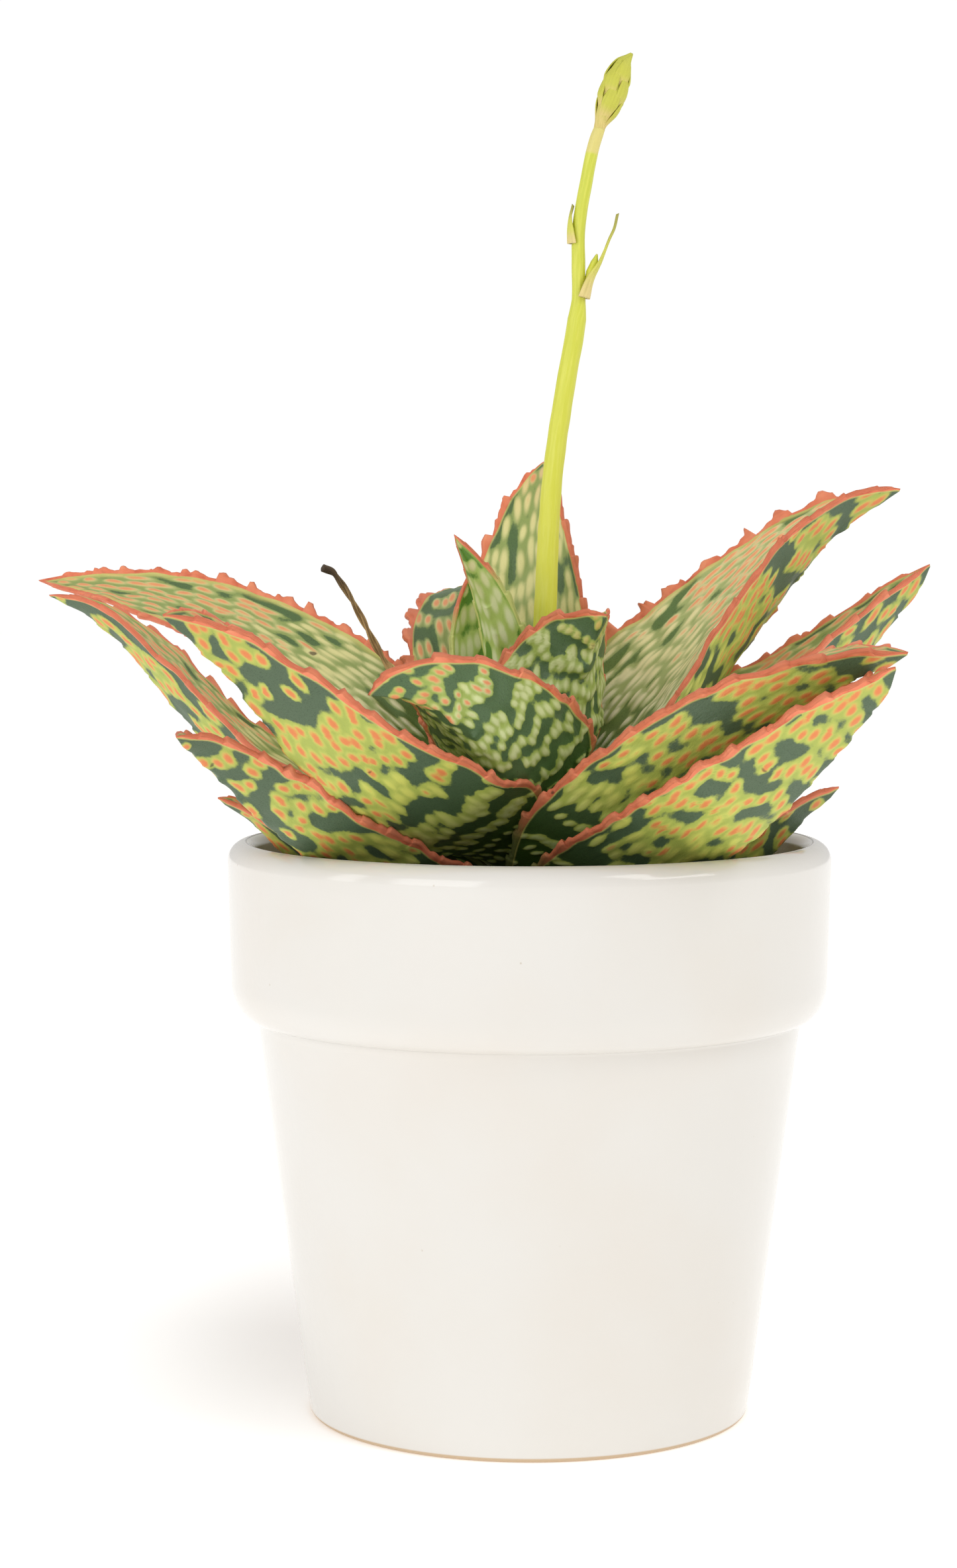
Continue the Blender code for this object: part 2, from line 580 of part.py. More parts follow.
def main():
    """Build the pot, the soil, the stem, the leaves and the flower stalks."""
    clear_scene()
    plant = bpy.data.collections.new("potted_star_aloe")
    bpy.context.scene.collection.children.link(plant)
    glaze = make_material("glazed_ceramic", (0.86, 0.83, 0.79), 0.18)
    earth = make_material("soil", (0.06, 0.04, 0.028), 0.95)
    bark = make_material("crown_skin", (0.32, 0.27, 0.14), 0.8)
    skin = make_material("leaf_skin", (0.2, 0.28, 0.09), 0.5)
    young = make_material("young_leaf_skin", (0.22, 0.36, 0.08), 0.45)
    stem = make_material("flower_stalk_skin", (0.62, 0.6, 0.08), 0.45)
    scale = make_material("bract_skin", (0.55, 0.52, 0.16), 0.6)
    dry = make_material("dried_stalk_skin", (0.2, 0.14, 0.06), 0.85)

    turned("pot", pot_profile(), POT_SIDES, plant, glaze)
    roughen_soil(turned("soil", soil_profile(), SOIL_SIDES, plant, earth))
    turned("crown", crown_profile(), CROWN_SIDES, plant, bark)
    for leaf in LEAVES:
        add_object(leaf.name, leaf_mesh(leaf), plant, young if leaf.name.startswith("leaf_heart") else skin)

    line, radii = smooth_line(STALK_LINE, STALK_POINTS, STALK_RADIUS)
    add_object("flower_stalk", tube_mesh("flower_stalk", line, radii, 3), plant, stem)
    line, radii = smooth_line(DRIED_LINE, DRIED_POINTS, DRIED_RADIUS)
    add_object("dried_stalk", tube_mesh("dried_stalk", line, radii, 2), plant, dry)
    make_bract("bract_large", LARGE_BRACT_LINE, LARGE_BRACT_ARC, 11, plant, scale, (1.0, 0.0, 0.25))
    make_bract("bract_small", SMALL_BRACT_LINE, SMALL_BRACT_ARC, 6, plant, scale, (-1.0, 0.0, 0.1))
    make_head(plant, scale)
    for obj in plant.objects:
        if obj.name not in ("pot", "crown"):
            shade_round(obj)


main()
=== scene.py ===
"""Looks of the potted star aloe: spotted and toothed leaves, a stalk in bud and a white glazed pot.

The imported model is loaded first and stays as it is. Each class for a part of the plant or the pot repeats
that part's driving sizes and makes a finer surface in the same place. Its lengths are millimetres. Those of
materials, lights, floor and camera are metres, and meshes are written in metres.
"""

import json
import logging
import math
from dataclasses import dataclass
from enum import Enum
from typing import Any, Callable, ClassVar, Optional, Sequence

import bpy
import numpy as np
from mathutils import Matrix

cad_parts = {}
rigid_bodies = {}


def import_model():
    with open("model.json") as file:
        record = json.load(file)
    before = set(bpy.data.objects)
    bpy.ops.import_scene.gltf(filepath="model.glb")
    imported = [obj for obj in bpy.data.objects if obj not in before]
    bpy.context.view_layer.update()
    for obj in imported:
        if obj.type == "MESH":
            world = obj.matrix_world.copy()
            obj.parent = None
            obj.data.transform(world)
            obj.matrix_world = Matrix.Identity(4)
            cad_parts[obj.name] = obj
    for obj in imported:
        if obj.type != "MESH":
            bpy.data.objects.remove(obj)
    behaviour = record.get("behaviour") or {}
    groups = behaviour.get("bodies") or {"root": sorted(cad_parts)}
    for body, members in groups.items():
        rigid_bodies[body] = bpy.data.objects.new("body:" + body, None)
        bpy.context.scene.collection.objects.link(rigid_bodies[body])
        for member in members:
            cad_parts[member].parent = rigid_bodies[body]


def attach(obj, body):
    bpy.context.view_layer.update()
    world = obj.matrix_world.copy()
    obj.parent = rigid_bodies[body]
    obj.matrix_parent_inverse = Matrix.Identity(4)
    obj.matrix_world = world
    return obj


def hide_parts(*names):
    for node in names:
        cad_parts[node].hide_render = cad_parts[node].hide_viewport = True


for leftover in list(bpy.data.objects):
    bpy.data.objects.remove(leftover)
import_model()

MM = 0.001
BODY = "root"
TURN = 2 * math.pi
GOLDEN_ANGLE = 137.5
RIPPLE_WAVES = 9
VIEW_AXIS = (0.0, 1.0, 0.0)
STALK_Y = 2.0
log = logging.getLogger("potted_star_aloe")

Array = np.ndarray
Colour = tuple[float, float, float]
Material = bpy.types.Material


def paint(red: int, green: int, blue: int) -> Colour:
    """Turn a colour as seen on a screen into the linear values that a shader takes.

    Args:
        red, green, blue: The colour's channels, from 0 to 255.

    Returns:
        The three linear values, from 0 to 1.
    """
    def linear(level: float) -> float:
        """Undo the screen's gamma for one channel."""
        level /= 255.0
        return level / 12.92 if level <= 0.04045 else ((level + 0.055) / 1.055) ** 2.4
    return linear(red), linear(green), linear(blue)


def smooth(x: Array) -> Array:
    """Smooth step: 0 below 0, 1 above 1, and 3x² - 2x³ between."""
    x = np.clip(x, 0.0, 1.0)
    return x * x * (3.0 - 2.0 * x)


def ripple(x: Array, y: Array, wavelength: float, seed: int) -> Array:
    """Soft noise between about -1 and 1: a sum of plane waves with random directions and phases.

    Args:
        x, y: Places, in any shape.
        wavelength: Mean length of the waves, in the same unit.
        seed: Seed of the random draw.

    Returns:
        Noise in the shape of x and y together.
    """
    rng = np.random.default_rng(seed)
    total = 0.0
    for _ in range(RIPPLE_WAVES):
        turn, phase = rng.uniform(0, TURN, 2)
        pace = TURN / (wavelength * rng.uniform(0.6, 1.6))
        total = total + np.sin(pace * (math.cos(turn) * x + math.sin(turn) * y) + phase)
    return total / math.sqrt(RIPPLE_WAVES)


def unit(vectors: Array) -> Array:
    """Scale each vector to length one."""
    return vectors / np.maximum(np.linalg.norm(vectors, axis=-1, keepdims=True), 1e-12)


def run_along(points: Array) -> Array:
    """Distance along a line of points, from 0 at the first."""
    return np.concatenate([[0.0], np.cumsum(np.linalg.norm(np.diff(points, axis=0), axis=1))])


def read_at(at: Array, known: Array, values: Array) -> Array:
    """Each coordinate of a line, read between its known places."""
    return np.stack([np.interp(at, known, column) for column in values.T], 1)


def carried_frame(line: Array) -> tuple[Array, Array, Array]:
    """Unit vectors that go with a line: along it, to its side and square to both.

    The side is the cross product of the line's direction and VIEW_AXIS, so it doesn't spin round the line.

    Args:
        line: Points of the line.

    Returns:
        The three vectors at each point.
    """
    along = unit(np.gradient(line, axis=0))
    side = unit(np.cross(along, VIEW_AXIS))
    return along, side, np.cross(along, side)


def smooth_line(points: Sequence, count: int, values: Sequence) -> tuple[Array, Array]:
    """Points evenly spaced on a cubic curve through the given points, as in the part's source.

    Args:
        points: Places that the curve passes through.
        count: Number of points returned.
        values: Numbers at the given points, carried along linearly.

    Returns:
        The places, and the values there.
    """
    pts = np.array(points, float)
    steps = run_along(pts)
    slopes = np.gradient(pts, steps, axis=0)
    at = np.linspace(0.0, steps[-1], count)
    k = np.clip(np.searchsorted(steps, at) - 1, 0, len(pts) - 2)
    span = (steps[k + 1] - steps[k])[:, None]
    u = (at - steps[k])[:, None] / span
    line = ((2 * u**3 - 3 * u**2 + 1) * pts[k] + (u**3 - 2 * u**2 + u) * span * slopes[k]
            + (3 * u**2 - 2 * u**3) * pts[k + 1] + (u**3 - u**2) * span * slopes[k + 1])
    return line, np.interp(at, steps, values)


@dataclass
class Surface:
    """Points, faces and what is stored at the points, collected before they become a mesh."""
    points: Array
    faces: list
    marks: dict
    flat: Array

    @staticmethod
    def joined(parts: Sequence["Surface"]) -> "Surface":
        """Put several surfaces into one, renumbering their faces.

        Args:
            parts: The surfaces, all with the marks of the first.

        Returns:
            The one surface.
        """
        points, faces, start = [], [], 0
        for part in parts:
            points.append(part.points)
            faces += [tuple(i + start for i in face) for face in part.faces]
            start += len(part.points)
        marks = {key: np.concatenate([part.marks[key] for part in parts]) for key in parts[0].marks}
        return Surface(np.concatenate(points), faces, marks, np.concatenate([part.flat for part in parts]))

    def build(self, name: str, finish: Material, slot: str, *nodes: str) -> bpy.types.Object:
        """Make the object, with its marks as attributes and its flat places as a UV map in metres.

        Args:
            name: Name of the piece.
            finish: Its material.
            slot: The record's material slot; not used.
            nodes: CAD nodes that the piece stands for.

        Returns:
            The new object, riding on the part's one body.
        """
        mesh = bpy.data.meshes.new(name)
        mesh.from_pydata((self.points * MM).tolist(), [], self.faces)
        mesh.update()
        mesh.polygons.foreach_set("use_smooth", np.ones(len(mesh.polygons), bool))
        for key, values in self.marks.items():
            layer = mesh.attributes.new(key, "FLOAT", "POINT")
            layer.data.foreach_set("value", np.ascontiguousarray(values, np.float32).ravel())
        corner = np.empty(len(mesh.loops), np.int32)
        mesh.loops.foreach_get("vertex_index", corner)
        uv = mesh.uv_layers.new(name="flat")
        uv.data.foreach_set("uv", (self.flat[corner] * MM).astype(np.float32).ravel())
        mesh.materials.append(finish)
        obj = bpy.data.objects.new(name, mesh)
        bpy.context.scene.collection.objects.link(obj)
        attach(obj, BODY)
        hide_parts(*nodes)
        log.info("%s: %d faces", name, len(mesh.polygons))
        return obj


def ring_surface(rings: Array, marks: dict, flat: Array, start: Array, end: Array) -> Surface:
    """Skin of closed rings, with a fan to one point at each end.

    The rings turn anticlockwise as seen from the far end, so that the faces look outwards.

    Args:
        rings: Places, rings × points × 3.
        marks: Values at those points, each rings × points.
        flat: Places on the flattened surface, rings × points × 2.
        start, end: The two closing points.

    Returns:
        The closed surface.
    """
    count, size, _ = rings.shape
    row, col = np.arange(count - 1)[:, None] * size, np.arange(size)[None]
    after = (col + 1) % size
    sides = np.stack([row + col, row + after, row + size + after, row + size + col], -1).reshape(-1, 4)
    last = (count - 1) * size
    first_fan = np.stack([after[0], col[0], np.full(size, count * size)], -1)
    last_fan = np.stack([last + col[0], last + after[0], np.full(size, count * size + 1)], -1)
    points = np.concatenate([rings.reshape(-1, 3), [start, end]])
    held = {key: np.concatenate([v.ravel(), [v[0].mean(), v[-1].mean()]]) for key, v in marks.items()}
    ends = [flat[0].mean(axis=0), flat[-1].mean(axis=0)]
    return Surface(points, sides.tolist() + first_fan.tolist() + last_fan.tolist(), held,
                   np.concatenate([flat.reshape(-1, 2), ends]))


def turned_surface(profile: Array, sides: int) -> Surface:
    """Turn a profile about +Z.

    Args:
        profile: Radius and height, from the axis out, up and back to the axis.
        sides: Number of points round the axis.

    Returns:
        The closed surface, with no marks.
    """
    inner = profile[1:-1]
    angle = np.linspace(0, TURN, sides, endpoint=False)
    radius, height = inner[:, :1], inner[:, 1:]
    rings = np.stack([radius * np.cos(angle), radius * np.sin(angle), height + 0 * angle], -1)
    flat = np.stack([run_along(inner)[:, None] + 0 * angle, radius * angle], -1)
    ends = [np.array([0.0, 0.0, profile[i, 1]]) for i in (0, -1)]
    return ring_surface(rings, {}, flat, *ends)


def tube_surface(line: Array, radius: Array, sides: int, twist: float = 0.0, ribs: int = 0,
                 rib: float = 0.0, seed: int = 0) -> Surface:
    """A tube along a line, its rings carried without spin, with ribs as a cosine of the angle.

    Args:
        line: Middle line.
        radius: Radius at each of its points.
        sides: Points round the tube.
        twist: Turn of the ribs over the whole length, in degrees.
        ribs: Number of ribs.
        rib: Height of a rib as a share of the radius.
        seed: Seed of the slight unevenness.

    Returns:
        The closed tube, with the share of its length and the crest of its ribs as marks.
    """
    _, side, up = carried_frame(line)
    share = np.linspace(0, 1, len(line))[:, None]
    angle = np.linspace(0, TURN, sides, endpoint=False)[None]
    crest = np.cos(ribs * (angle - np.radians(twist) * share))
    run = run_along(line)[:, None]
    uneven = 0.012 * ripple(run + 0 * angle, angle * 3, 6.0, seed)
    size = radius[:, None] * (1 + rib * crest + uneven)
    rings = (line[:, None] + side[:, None] * (size * np.cos(angle))[..., None]
             + up[:, None] * (size * np.sin(angle))[..., None])
    flat = np.stack([run + 0 * angle, radius[:, None] * angle], -1)
    marks = {"share": share + 0 * angle, "crest": 0.5 + 0.5 * crest}
    return ring_surface(rings, marks, flat, line[0], line[-1])


def operation(kind: str, turned: bool = False) -> Callable:
    """Make a method of Value that adds one Math node.

    Args:
        kind: The node's operation.
        turned: Whether its two inputs are turned round.

    Returns:
        The method.
    """
    def method(self: "Value", other: Any) -> "Value":
        """Add the node."""
        return self.graph.math(kind, other, self) if turned else self.graph.math(kind, self, other)
    return method


class Value:
    """A shader value that takes Python's arithmetic: each operation adds one Math node."""
    __add__ = operation("ADD")
    __sub__ = operation("SUBTRACT")
    __rsub__ = operation("SUBTRACT", turned=True)
    __mul__ = operation("MULTIPLY")
    least = operation("MINIMUM")

    def __init__(self, graph: "Graph", link: bpy.types.NodeSocket) -> None:
        """Hold a node's output and the graph that it is in."""
        self.graph = graph
        self.link = link

    def step(self, low: float, high: float) -> "Value":
        """Smooth step from 0 at low to 1 at high."""
        return self.graph.node("ShaderNodeMapRange", {"interpolation_type": "SMOOTHSTEP"},
                               {0: self, 1: low, 2: high, 3: 0.0, 4: 1.0})

    def scaled(self, low: float, high: float) -> "Value":
        """Run from low to high where the value runs from 0 to 1."""
        return self * (high - low) + low


class Graph:
    """The nodes of one material, made from expressions and one general method."""

    def __init__(self, name: str) -> None:
        """Start a material with its Principled shader.

        Args:
            name: Name of the material.
        """
        self.material = bpy.data.materials.new(name)
        self.material.use_nodes = True
        self.tree = self.material.node_tree
        self.shader = self.tree.nodes["Principled BSDF"]

    def feed(self, socket: bpy.types.NodeSocket, value: Any) -> None:
        """Link a value to a socket, or set the socket.

        Args:
            socket: The input.
            value: A Value to link, or a number, colour or vector to set.
        """
        if isinstance(value, Value):
            self.tree.links.new(value.link, socket)
        elif socket.type == "RGBA" and len(value) == 3:
            socket.default_value = (*value, 1.0)
        else:
            socket.default_value = value

    def node(self, kind: str, settings: dict, inputs: dict, output: int = 0) -> Value:
        """Add one node.

        Args:
            kind: Its type.
            settings: Its properties, set before anything is fed in.
            inputs: Values for its sockets, by name or number.
            output: Number of the output wanted.

        Returns:
            That output.
        """
        node = self.tree.nodes.new(kind)
        for key, value in settings.items():
            setattr(node, key, value)
        for key, value in inputs.items():
            self.feed(node.inputs[key], value)
        return Value(self, node.outputs[output])

    def math(self, kind: str, first: Any, second: Any) -> Value:
        """One Math node."""
        return self.node("ShaderNodeMath", {"operation": kind}, {0: first, 1: second})

    def mix(self, first: Any, second: Any, share: Any) -> Value:
        """Mix two colours by a share."""
        return self.node("ShaderNodeMix", {"data_type": "RGBA"}, {0: share, 6: first, 7: second}, 2)

    def mark(self, name: str) -> Value:
        """A value stored at the mesh's points."""
        return self.node("ShaderNodeAttribute", {"attribute_name": name}, {}, 2)

    def place(self, stretch: Sequence[float] = (1.0, 1.0, 1.0), flat: bool = False) -> Value:
        """Places in metres, scaled along each axis.

        Args:
            stretch: Scale along each axis.
            flat: Whether the places are those on the flattened surface and not the object's own.

        Returns:
            The places.
        """
        if flat:
            source = self.node("ShaderNodeUVMap", {"uv_map": "flat"}, {})
        else:
            source = self.node("ShaderNodeTexCoord", {}, {}, 3)
        return self.node("ShaderNodeMapping", {}, {"Vector": source, "Scale": tuple(stretch)})

    def noise(self, place: Value, scale: float, detail: float = 2.0, rough: float = 0.5) -> Value:
        """Soft noise about 0.5, with scale cells a metre."""
        return self.node("ShaderNodeTexNoise", {},
                         {"Vector": place, "Scale": scale, "Detail": detail, "Roughness": rough})

    def fibres(self, stretch: float, scale: float, detail: float = 3.0) -> Value:
        """Soft noise drawn out along the piece, stretch times as long as wide."""
        return self.noise(self.place((1.0, stretch, 1.0), flat=True), scale, detail)

    def cells(self, place: Value, scale: float) -> Value:
        """Distance to the nearest of scattered points, with scale cells a metre."""
        return self.node("ShaderNodeTexVoronoi", {}, {"Vector": place, "Scale": scale})

    def finish(self, colour: Any, roughness: Any, height: Optional[Value] = None, depth: float = 0.0001,
               **fixed: Any) -> Material:
        """Feed the shader and return the material.

        Args:
            colour: Base colour.
            roughness: Roughness.
            height: Height for the bump, from 0 to 1.
            depth: Real depth in metres that a height of 1 stands for.
            fixed: Constant values of other sockets, with _ for each space in the name.

        Returns:
            The finished material.
        """
        self.feed(self.shader.inputs["Base Color"], colour)
        self.feed(self.shader.inputs["Roughness"], roughness)
        if height is not None:
            bump = self.node("ShaderNodeBump", {}, {"Height": height, "Distance": depth, "Strength": 1.0})
            self.feed(self.shader.inputs["Normal"], bump)
        for key, value in fixed.items():
            self.feed(self.shader.inputs[key.replace("_", " ")], value)
        return self.material


@dataclass(frozen=True)
class Glaze:
    """White glaze of the pot: warm, glossy, with rare pin specks and a foot ring left bare to bare_height."""
    body: Colour = paint(220, 217, 212)
    shade: Colour = paint(219, 214, 207)
    speck: Colour = paint(190, 178, 160)
    bisque: Colour = paint(196, 172, 142)
    bare_height: float = 0.0012

    def material(self) -> Material:
        """Build the glaze: slow clouds, rare specks, the bare foot ring and a slightly wavy surface.

        Returns:
            The finished material.
        """
        g = Graph("white_glaze")
        place = g.place()
        cloud = g.noise(place, 24.0, 3.0)
        colour = g.mix(self.body, self.shade, cloud.step(0.35, 0.75))
        dot = 1 - g.cells(place, 260.0).step(0.04, 0.09)
        rare = g.noise(place, 90.0).step(0.62, 0.66)
        colour = g.mix(colour, self.speck, dot * rare * 0.7)
        height = g.node("ShaderNodeSeparateXYZ", {}, {0: place}, 2)
        bare = 1 - height.step(self.bare_height * 0.7, self.bare_height)
        colour = g.mix(colour, self.bisque, bare)
        rough = g.noise(place, 60.0).scaled(0.09, 0.17) + bare * 0.6
        waves = g.noise(place, 38.0, 1.0) + g.noise(place, 700.0, 1.0) * 0.05
        return g.finish(colour, rough, waves, 0.00035, Coat_Weight=0.2, Coat_Roughness=0.06)


@dataclass(frozen=True)
class Earth:
    """Potting soil: dark fibrous crumbs, each with its own shade."""
    dark: Colour = paint(38, 28, 21)
    light: Colour = paint(98, 76, 56)
    fibre: Colour = paint(128, 100, 70)

    def material(self) -> Material:
        """Build the soil: crumbs by noise and by each lump's own shade, with paler threads.

        Returns:
            The finished material.
        """
        g = Graph("potting_soil")
        place = g.place()
        crumb = g.noise(place, 420.0, 5.0, 0.65)
        colour = g.mix(self.dark, self.light, (crumb * 0.6 + g.mark("shade") * 0.5).step(0.25, 0.8))
        thread = g.noise(g.place((1.0, 6.0, 3.0)), 260.0, 2.0).step(0.66, 0.72)
        colour = g.mix(colour, self.fibre, thread * 0.6)
        height = crumb + g.noise(place, 1500.0, 2.0) * 0.4
        return g.finish(colour, crumb.scaled(0.8, 1.0), height, 0.0006)


@dataclass(frozen=True)
class Bark:
    """Skin of the short stem: green-brown with papery rings of old leaf bases."""
    flesh: Colour = paint(122, 128, 70)
    paper: Colour = paint(170, 142, 98)
    crack: Colour = paint(82, 62, 38)

    def material(self) -> Material:
        """Build the stem's skin: papery patches and cracks, drawn out round the stem.

        Returns:
            The finished material.
        """
        g = Graph("stem_skin")
        place = g.place((1.0, 1.0, 4.0))
        grain = g.noise(place, 240.0, 4.0)
        colour = g.mix(self.flesh, self.paper, grain.step(0.35, 0.6))
        colour = g.mix(colour, self.crack, g.noise(place, 620.0, 3.0).step(0.58, 0.68))
        return g.finish(colour, grain.scaled(0.6, 0.9), grain, 0.0004)


@dataclass(frozen=True)
class FaceTints:
    """Colours of one face of a leaf, from its base to its tip."""
    ground_base: Colour
    ground_tip: Colour
    spot_base: Colour
    spot_tip: Colour
    edge: Colour
    core: Colour


@dataclass(frozen=True)
class LeafSkin:
    """Skin of the leaves: dark ground, pale raised spots with salmon cores, and salmon toothed ribbons."""
    name: str
    outer: FaceTints
    inner: FaceTints
    ribbon: Colour = paint(226, 122, 86)
    ribbon_pale: Colour = paint(238, 150, 110)
    ribbon_deep: Colour = paint(196, 92, 60)
    piping: Colour = paint(200, 194, 110)
    bare_margin: Colour = paint(120, 128, 66)
    blemish: Colour = paint(70, 48, 30)
    pale_end: float = 0.42
    core_rim: float = 0.58
    core_full: float = 0.94
    blush_from: float = 0.11
    night: Colour = (0.012, 0.025, 0.01)

    def face(self, g: Graph, tints: FaceTints, fray: Value, speck: Value) -> Value:
        """Colour of one face: ground, then spots with a greener edge, then their cores.

        Args:
            g: Graph of the material.
            tints: Colours of the face.
            fray: Noise about 0 that frays the outlines.
            speck: Fine noise that darkens the ground.

        Returns:
            The face's colour.
        """
        share = g.mark("share")
        ripe = share.step(self.pale_end - 0.28, self.pale_end)
        ground = g.mix(tints.ground_base, tints.ground_tip, share.step(0.08, 0.5))
        ground = g.mix(ground, self.night, speck.step(0.5, 0.75) * 0.42)
        halo = g.mark("halo") + fray * 0.3
        spot = g.mix(tints.spot_base, tints.spot_tip, ripe)
        spot = g.mix(spot, tints.core, share.step(0.7, 1.05) * 0.4)
        spot = g.mix(tints.edge, spot, g.mark("dome").step(0.35, 0.92))
        spot = g.mix(spot, tints.ground_tip, speck.step(0.55, 0.8) * 0.12)
        colour = g.mix(ground, spot, halo.step(0.34, 0.58))
        core = (g.mark("core") + fray * 0.16).step(self.core_rim, self.core_full)
        return g.mix(colour, tints.core, core * 0.95)

    def material(self) -> Material:
        """Build the skin from the leaf's marks: both faces, then piping, ribbon and a few blemishes.

        Returns:
            The finished material.
        """
        g = Graph(self.name)
        flat = g.place((1.0, 1.6, 1.0), flat=True)
        fray = g.noise(flat, 900.0, 3.0) - 0.5
        speck = g.noise(g.place(), 3600.0, 2.0, 0.6)
        fibre = g.fibres(5.0, 320.0)
        outer = self.face(g, self.outer, fray, speck)
        inner = self.face(g, self.inner, fray + (fibre - 0.5) * 0.35, speck)
        colour = g.mix(outer, inner, g.mark("inner").step(0.45, 0.55))
        edge = g.mark("ribbon") + fray * 0.35
        colour = g.mix(colour, self.piping, (1 - edge.step(1.2, 3.0)) * 0.85)
        blush = g.noise(flat, 260.0, 2.0)
        ribbon = g.mix(self.ribbon_deep, self.ribbon, blush.step(0.25, 0.5))
        ribbon = g.mix(ribbon, self.ribbon_pale, blush.step(0.5, 0.75) * 0.8)
        ribbon = g.mix(ribbon, self.ribbon_deep, speck.step(0.6, 0.8) * 0.3)
        ribbon = g.mix(ribbon, self.ribbon_pale, g.mark("tooth").step(0.1, 0.9) * 0.4)
        blushed = g.mark("share").step(self.blush_from, self.blush_from + 0.12)
        ribbon = g.mix(self.bare_margin, ribbon, blushed)
        colour = g.mix(colour, ribbon, 1 - edge.step(0.9, 1.12))
        blot = g.noise(g.place(), 150.0, 2.0).step(0.745, 0.78)
        colour = g.mix(colour, self.blemish, blot * 0.8)
        rough = g.mark("halo").least(1.0).scaled(0.42, 0.5) + (fibre - 0.5) * 0.12
        height = g.noise(flat, 1700.0, 2.0) * 0.5 + fibre * 0.5
        return g.finish(colour, rough, height, 0.00012, Specular_IOR_Level=0.42)


@dataclass(frozen=True)
class StalkSkin:
    """Skin of the flower stalk: yellow-green with faint streaks, and a paler sleeve under the head."""
    low: Colour = paint(216, 216, 68)
    high: Colour = paint(196, 202, 66)
    streak: Colour = paint(222, 222, 96)
    sleeve: Colour = paint(222, 204, 132)
    sleeve_from: float = 0.957
    sleeve_full: float = 0.963

    def material(self) -> Material:
        """Build the stalk's skin: streaks along it over a slow change of green, and the sleeve.

        Returns:
            The finished material.
        """
        g = Graph("flower_stalk_skin")
        lines = g.fibres(14.0, 130.0)
        share = g.mark("share")
        colour = g.mix(self.low, self.high, share.step(0.25, 1.0))
        colour = g.mix(colour, self.streak, lines.step(0.42, 0.7) * 0.55 + g.mark("crest") * 0.12)
        colour = g.mix(colour, self.sleeve, share.step(self.sleeve_from, self.sleeve_full) * 0.75)
        return g.finish(colour, lines.scaled(0.38, 0.5), lines, 0.00012)


@dataclass(frozen=True)
class ScaleSkin:
    """Skin of bracts and bud scales: yellow-green to tan, with darker veins along them."""
    name: str
    base: Colour
    middle: Colour
    tip: Colour
    vein: Colour

    def material(self) -> Material:
        """Build the scales' skin: three colours from base to tip, with veins where the crest mark is high.

        Returns:
            The finished material.
        """
        g = Graph(self.name)
        lines = g.fibres(9.0, 210.0)
        share = g.mark("share")
        colour = g.mix(self.base, self.middle, share.step(0.05, 0.4))
        colour = g.mix(colour, self.tip, share.step(0.55, 1.0))
        colour = g.mix(colour, self.vein, g.mark("crest") * lines.step(0.35, 0.65) * 0.4)
        return g.finish(colour, lines.scaled(0.5, 0.7), lines, 0.00015)


@dataclass(frozen=True)
class DrySkin:
    """Skin of the old stalk: dry and fibrous, tan below and dark at the knob."""
    straw: Colour = paint(182, 148, 94)
    brown: Colour = paint(124, 96, 58)
    dark: Colour = paint(52, 40, 30)

    def material(self) -> Material:
        """Build the dry skin: fibres along the strand, darker towards the knob.

        Returns:
            The finished material.
        """
        g = Graph("dry_stalk_skin")
        lines = g.fibres(10.0, 200.0, 4.0)
        colour = g.mix(self.straw, self.brown, lines.step(0.4, 0.62))
        colour = g.mix(colour, self.dark, g.mark("share").step(0.75, 0.99) * 0.9)
        return g.finish(colour, lines.scaled(0.6, 0.85), lines, 0.0003)


@dataclass(frozen=True)
class FloorPaint:
    """Plain pale floor, lit from below as on a light table, with a barely seen grain.

    Its glow is weaker round the shadow's place beside the pot, up to shadow_reach from it: a painted shadow,
    a little warm, laid over the pot's real one. Both are metres on a floor that is squeezed in depth.
    """
    light: Colour = paint(250, 249, 248)
    shade: Colour = paint(248, 247, 245)
    glow: float = 0.4
    far_glow: Colour = (1.0, 0.995, 0.985)
    painted_shadow_glow: Colour = (0.34, 0.29, 0.25)
    squeeze: float = 0.35
    shadow_place: tuple[float, float, float] = (-0.05, 0.026, 0.0)
    shadow_reach: float = 0.062

    def material(self) -> Material:
        """Build the paint: a faint grain, and a glow that is weaker round the shadow's place, which paints a
        shadow there.

        Returns:
            The finished material.
        """
        g = Graph("pale_floor")
        grain = g.noise(g.place(), 3.0, 3.0)
        away = g.node("ShaderNodeVectorMath", {"operation": "DISTANCE"},
                      {0: g.place((1.0, self.squeeze, 1.0)), 1: self.shadow_place}, 1)
        # Weaker glow round shadow_place: a painted shadow beside the pot.
        glow = g.mix(self.painted_shadow_glow, self.far_glow, away.step(0.0, self.shadow_reach))
        return g.finish(g.mix(self.light, self.shade, grain.step(0.3, 0.7)), 0.7,
                        Emission_Color=glow, Emission_Strength=self.glow)


def arc(centre: Sequence[float], size: Sequence[float], start: float, end: float, count: int) -> Array:
    """Points on an ellipse in the radius-height plane, from one angle in degrees to another."""
    angle = np.radians(np.linspace(start, end, count))
    return np.stack([centre[0] + size[0] * np.cos(angle), centre[1] + size[1] * np.sin(angle)], 1)


def dense(profile: Array, step: float) -> Array:
    """Add points to the straight runs of an outline.

    Args:
        profile: The outline.
        step: Greatest length of a run.

    Returns:
        The same outline, with no run longer than step.
    """
    out = [profile[:1]]
    for low, high in zip(profile[:-1], profile[1:]):
        count = max(1, math.ceil(np.linalg.norm(high - low) / step))
        out.append(low + (high - low) * np.linspace(0, 1, count + 1)[1:, None])
    return np.concatenate(out)


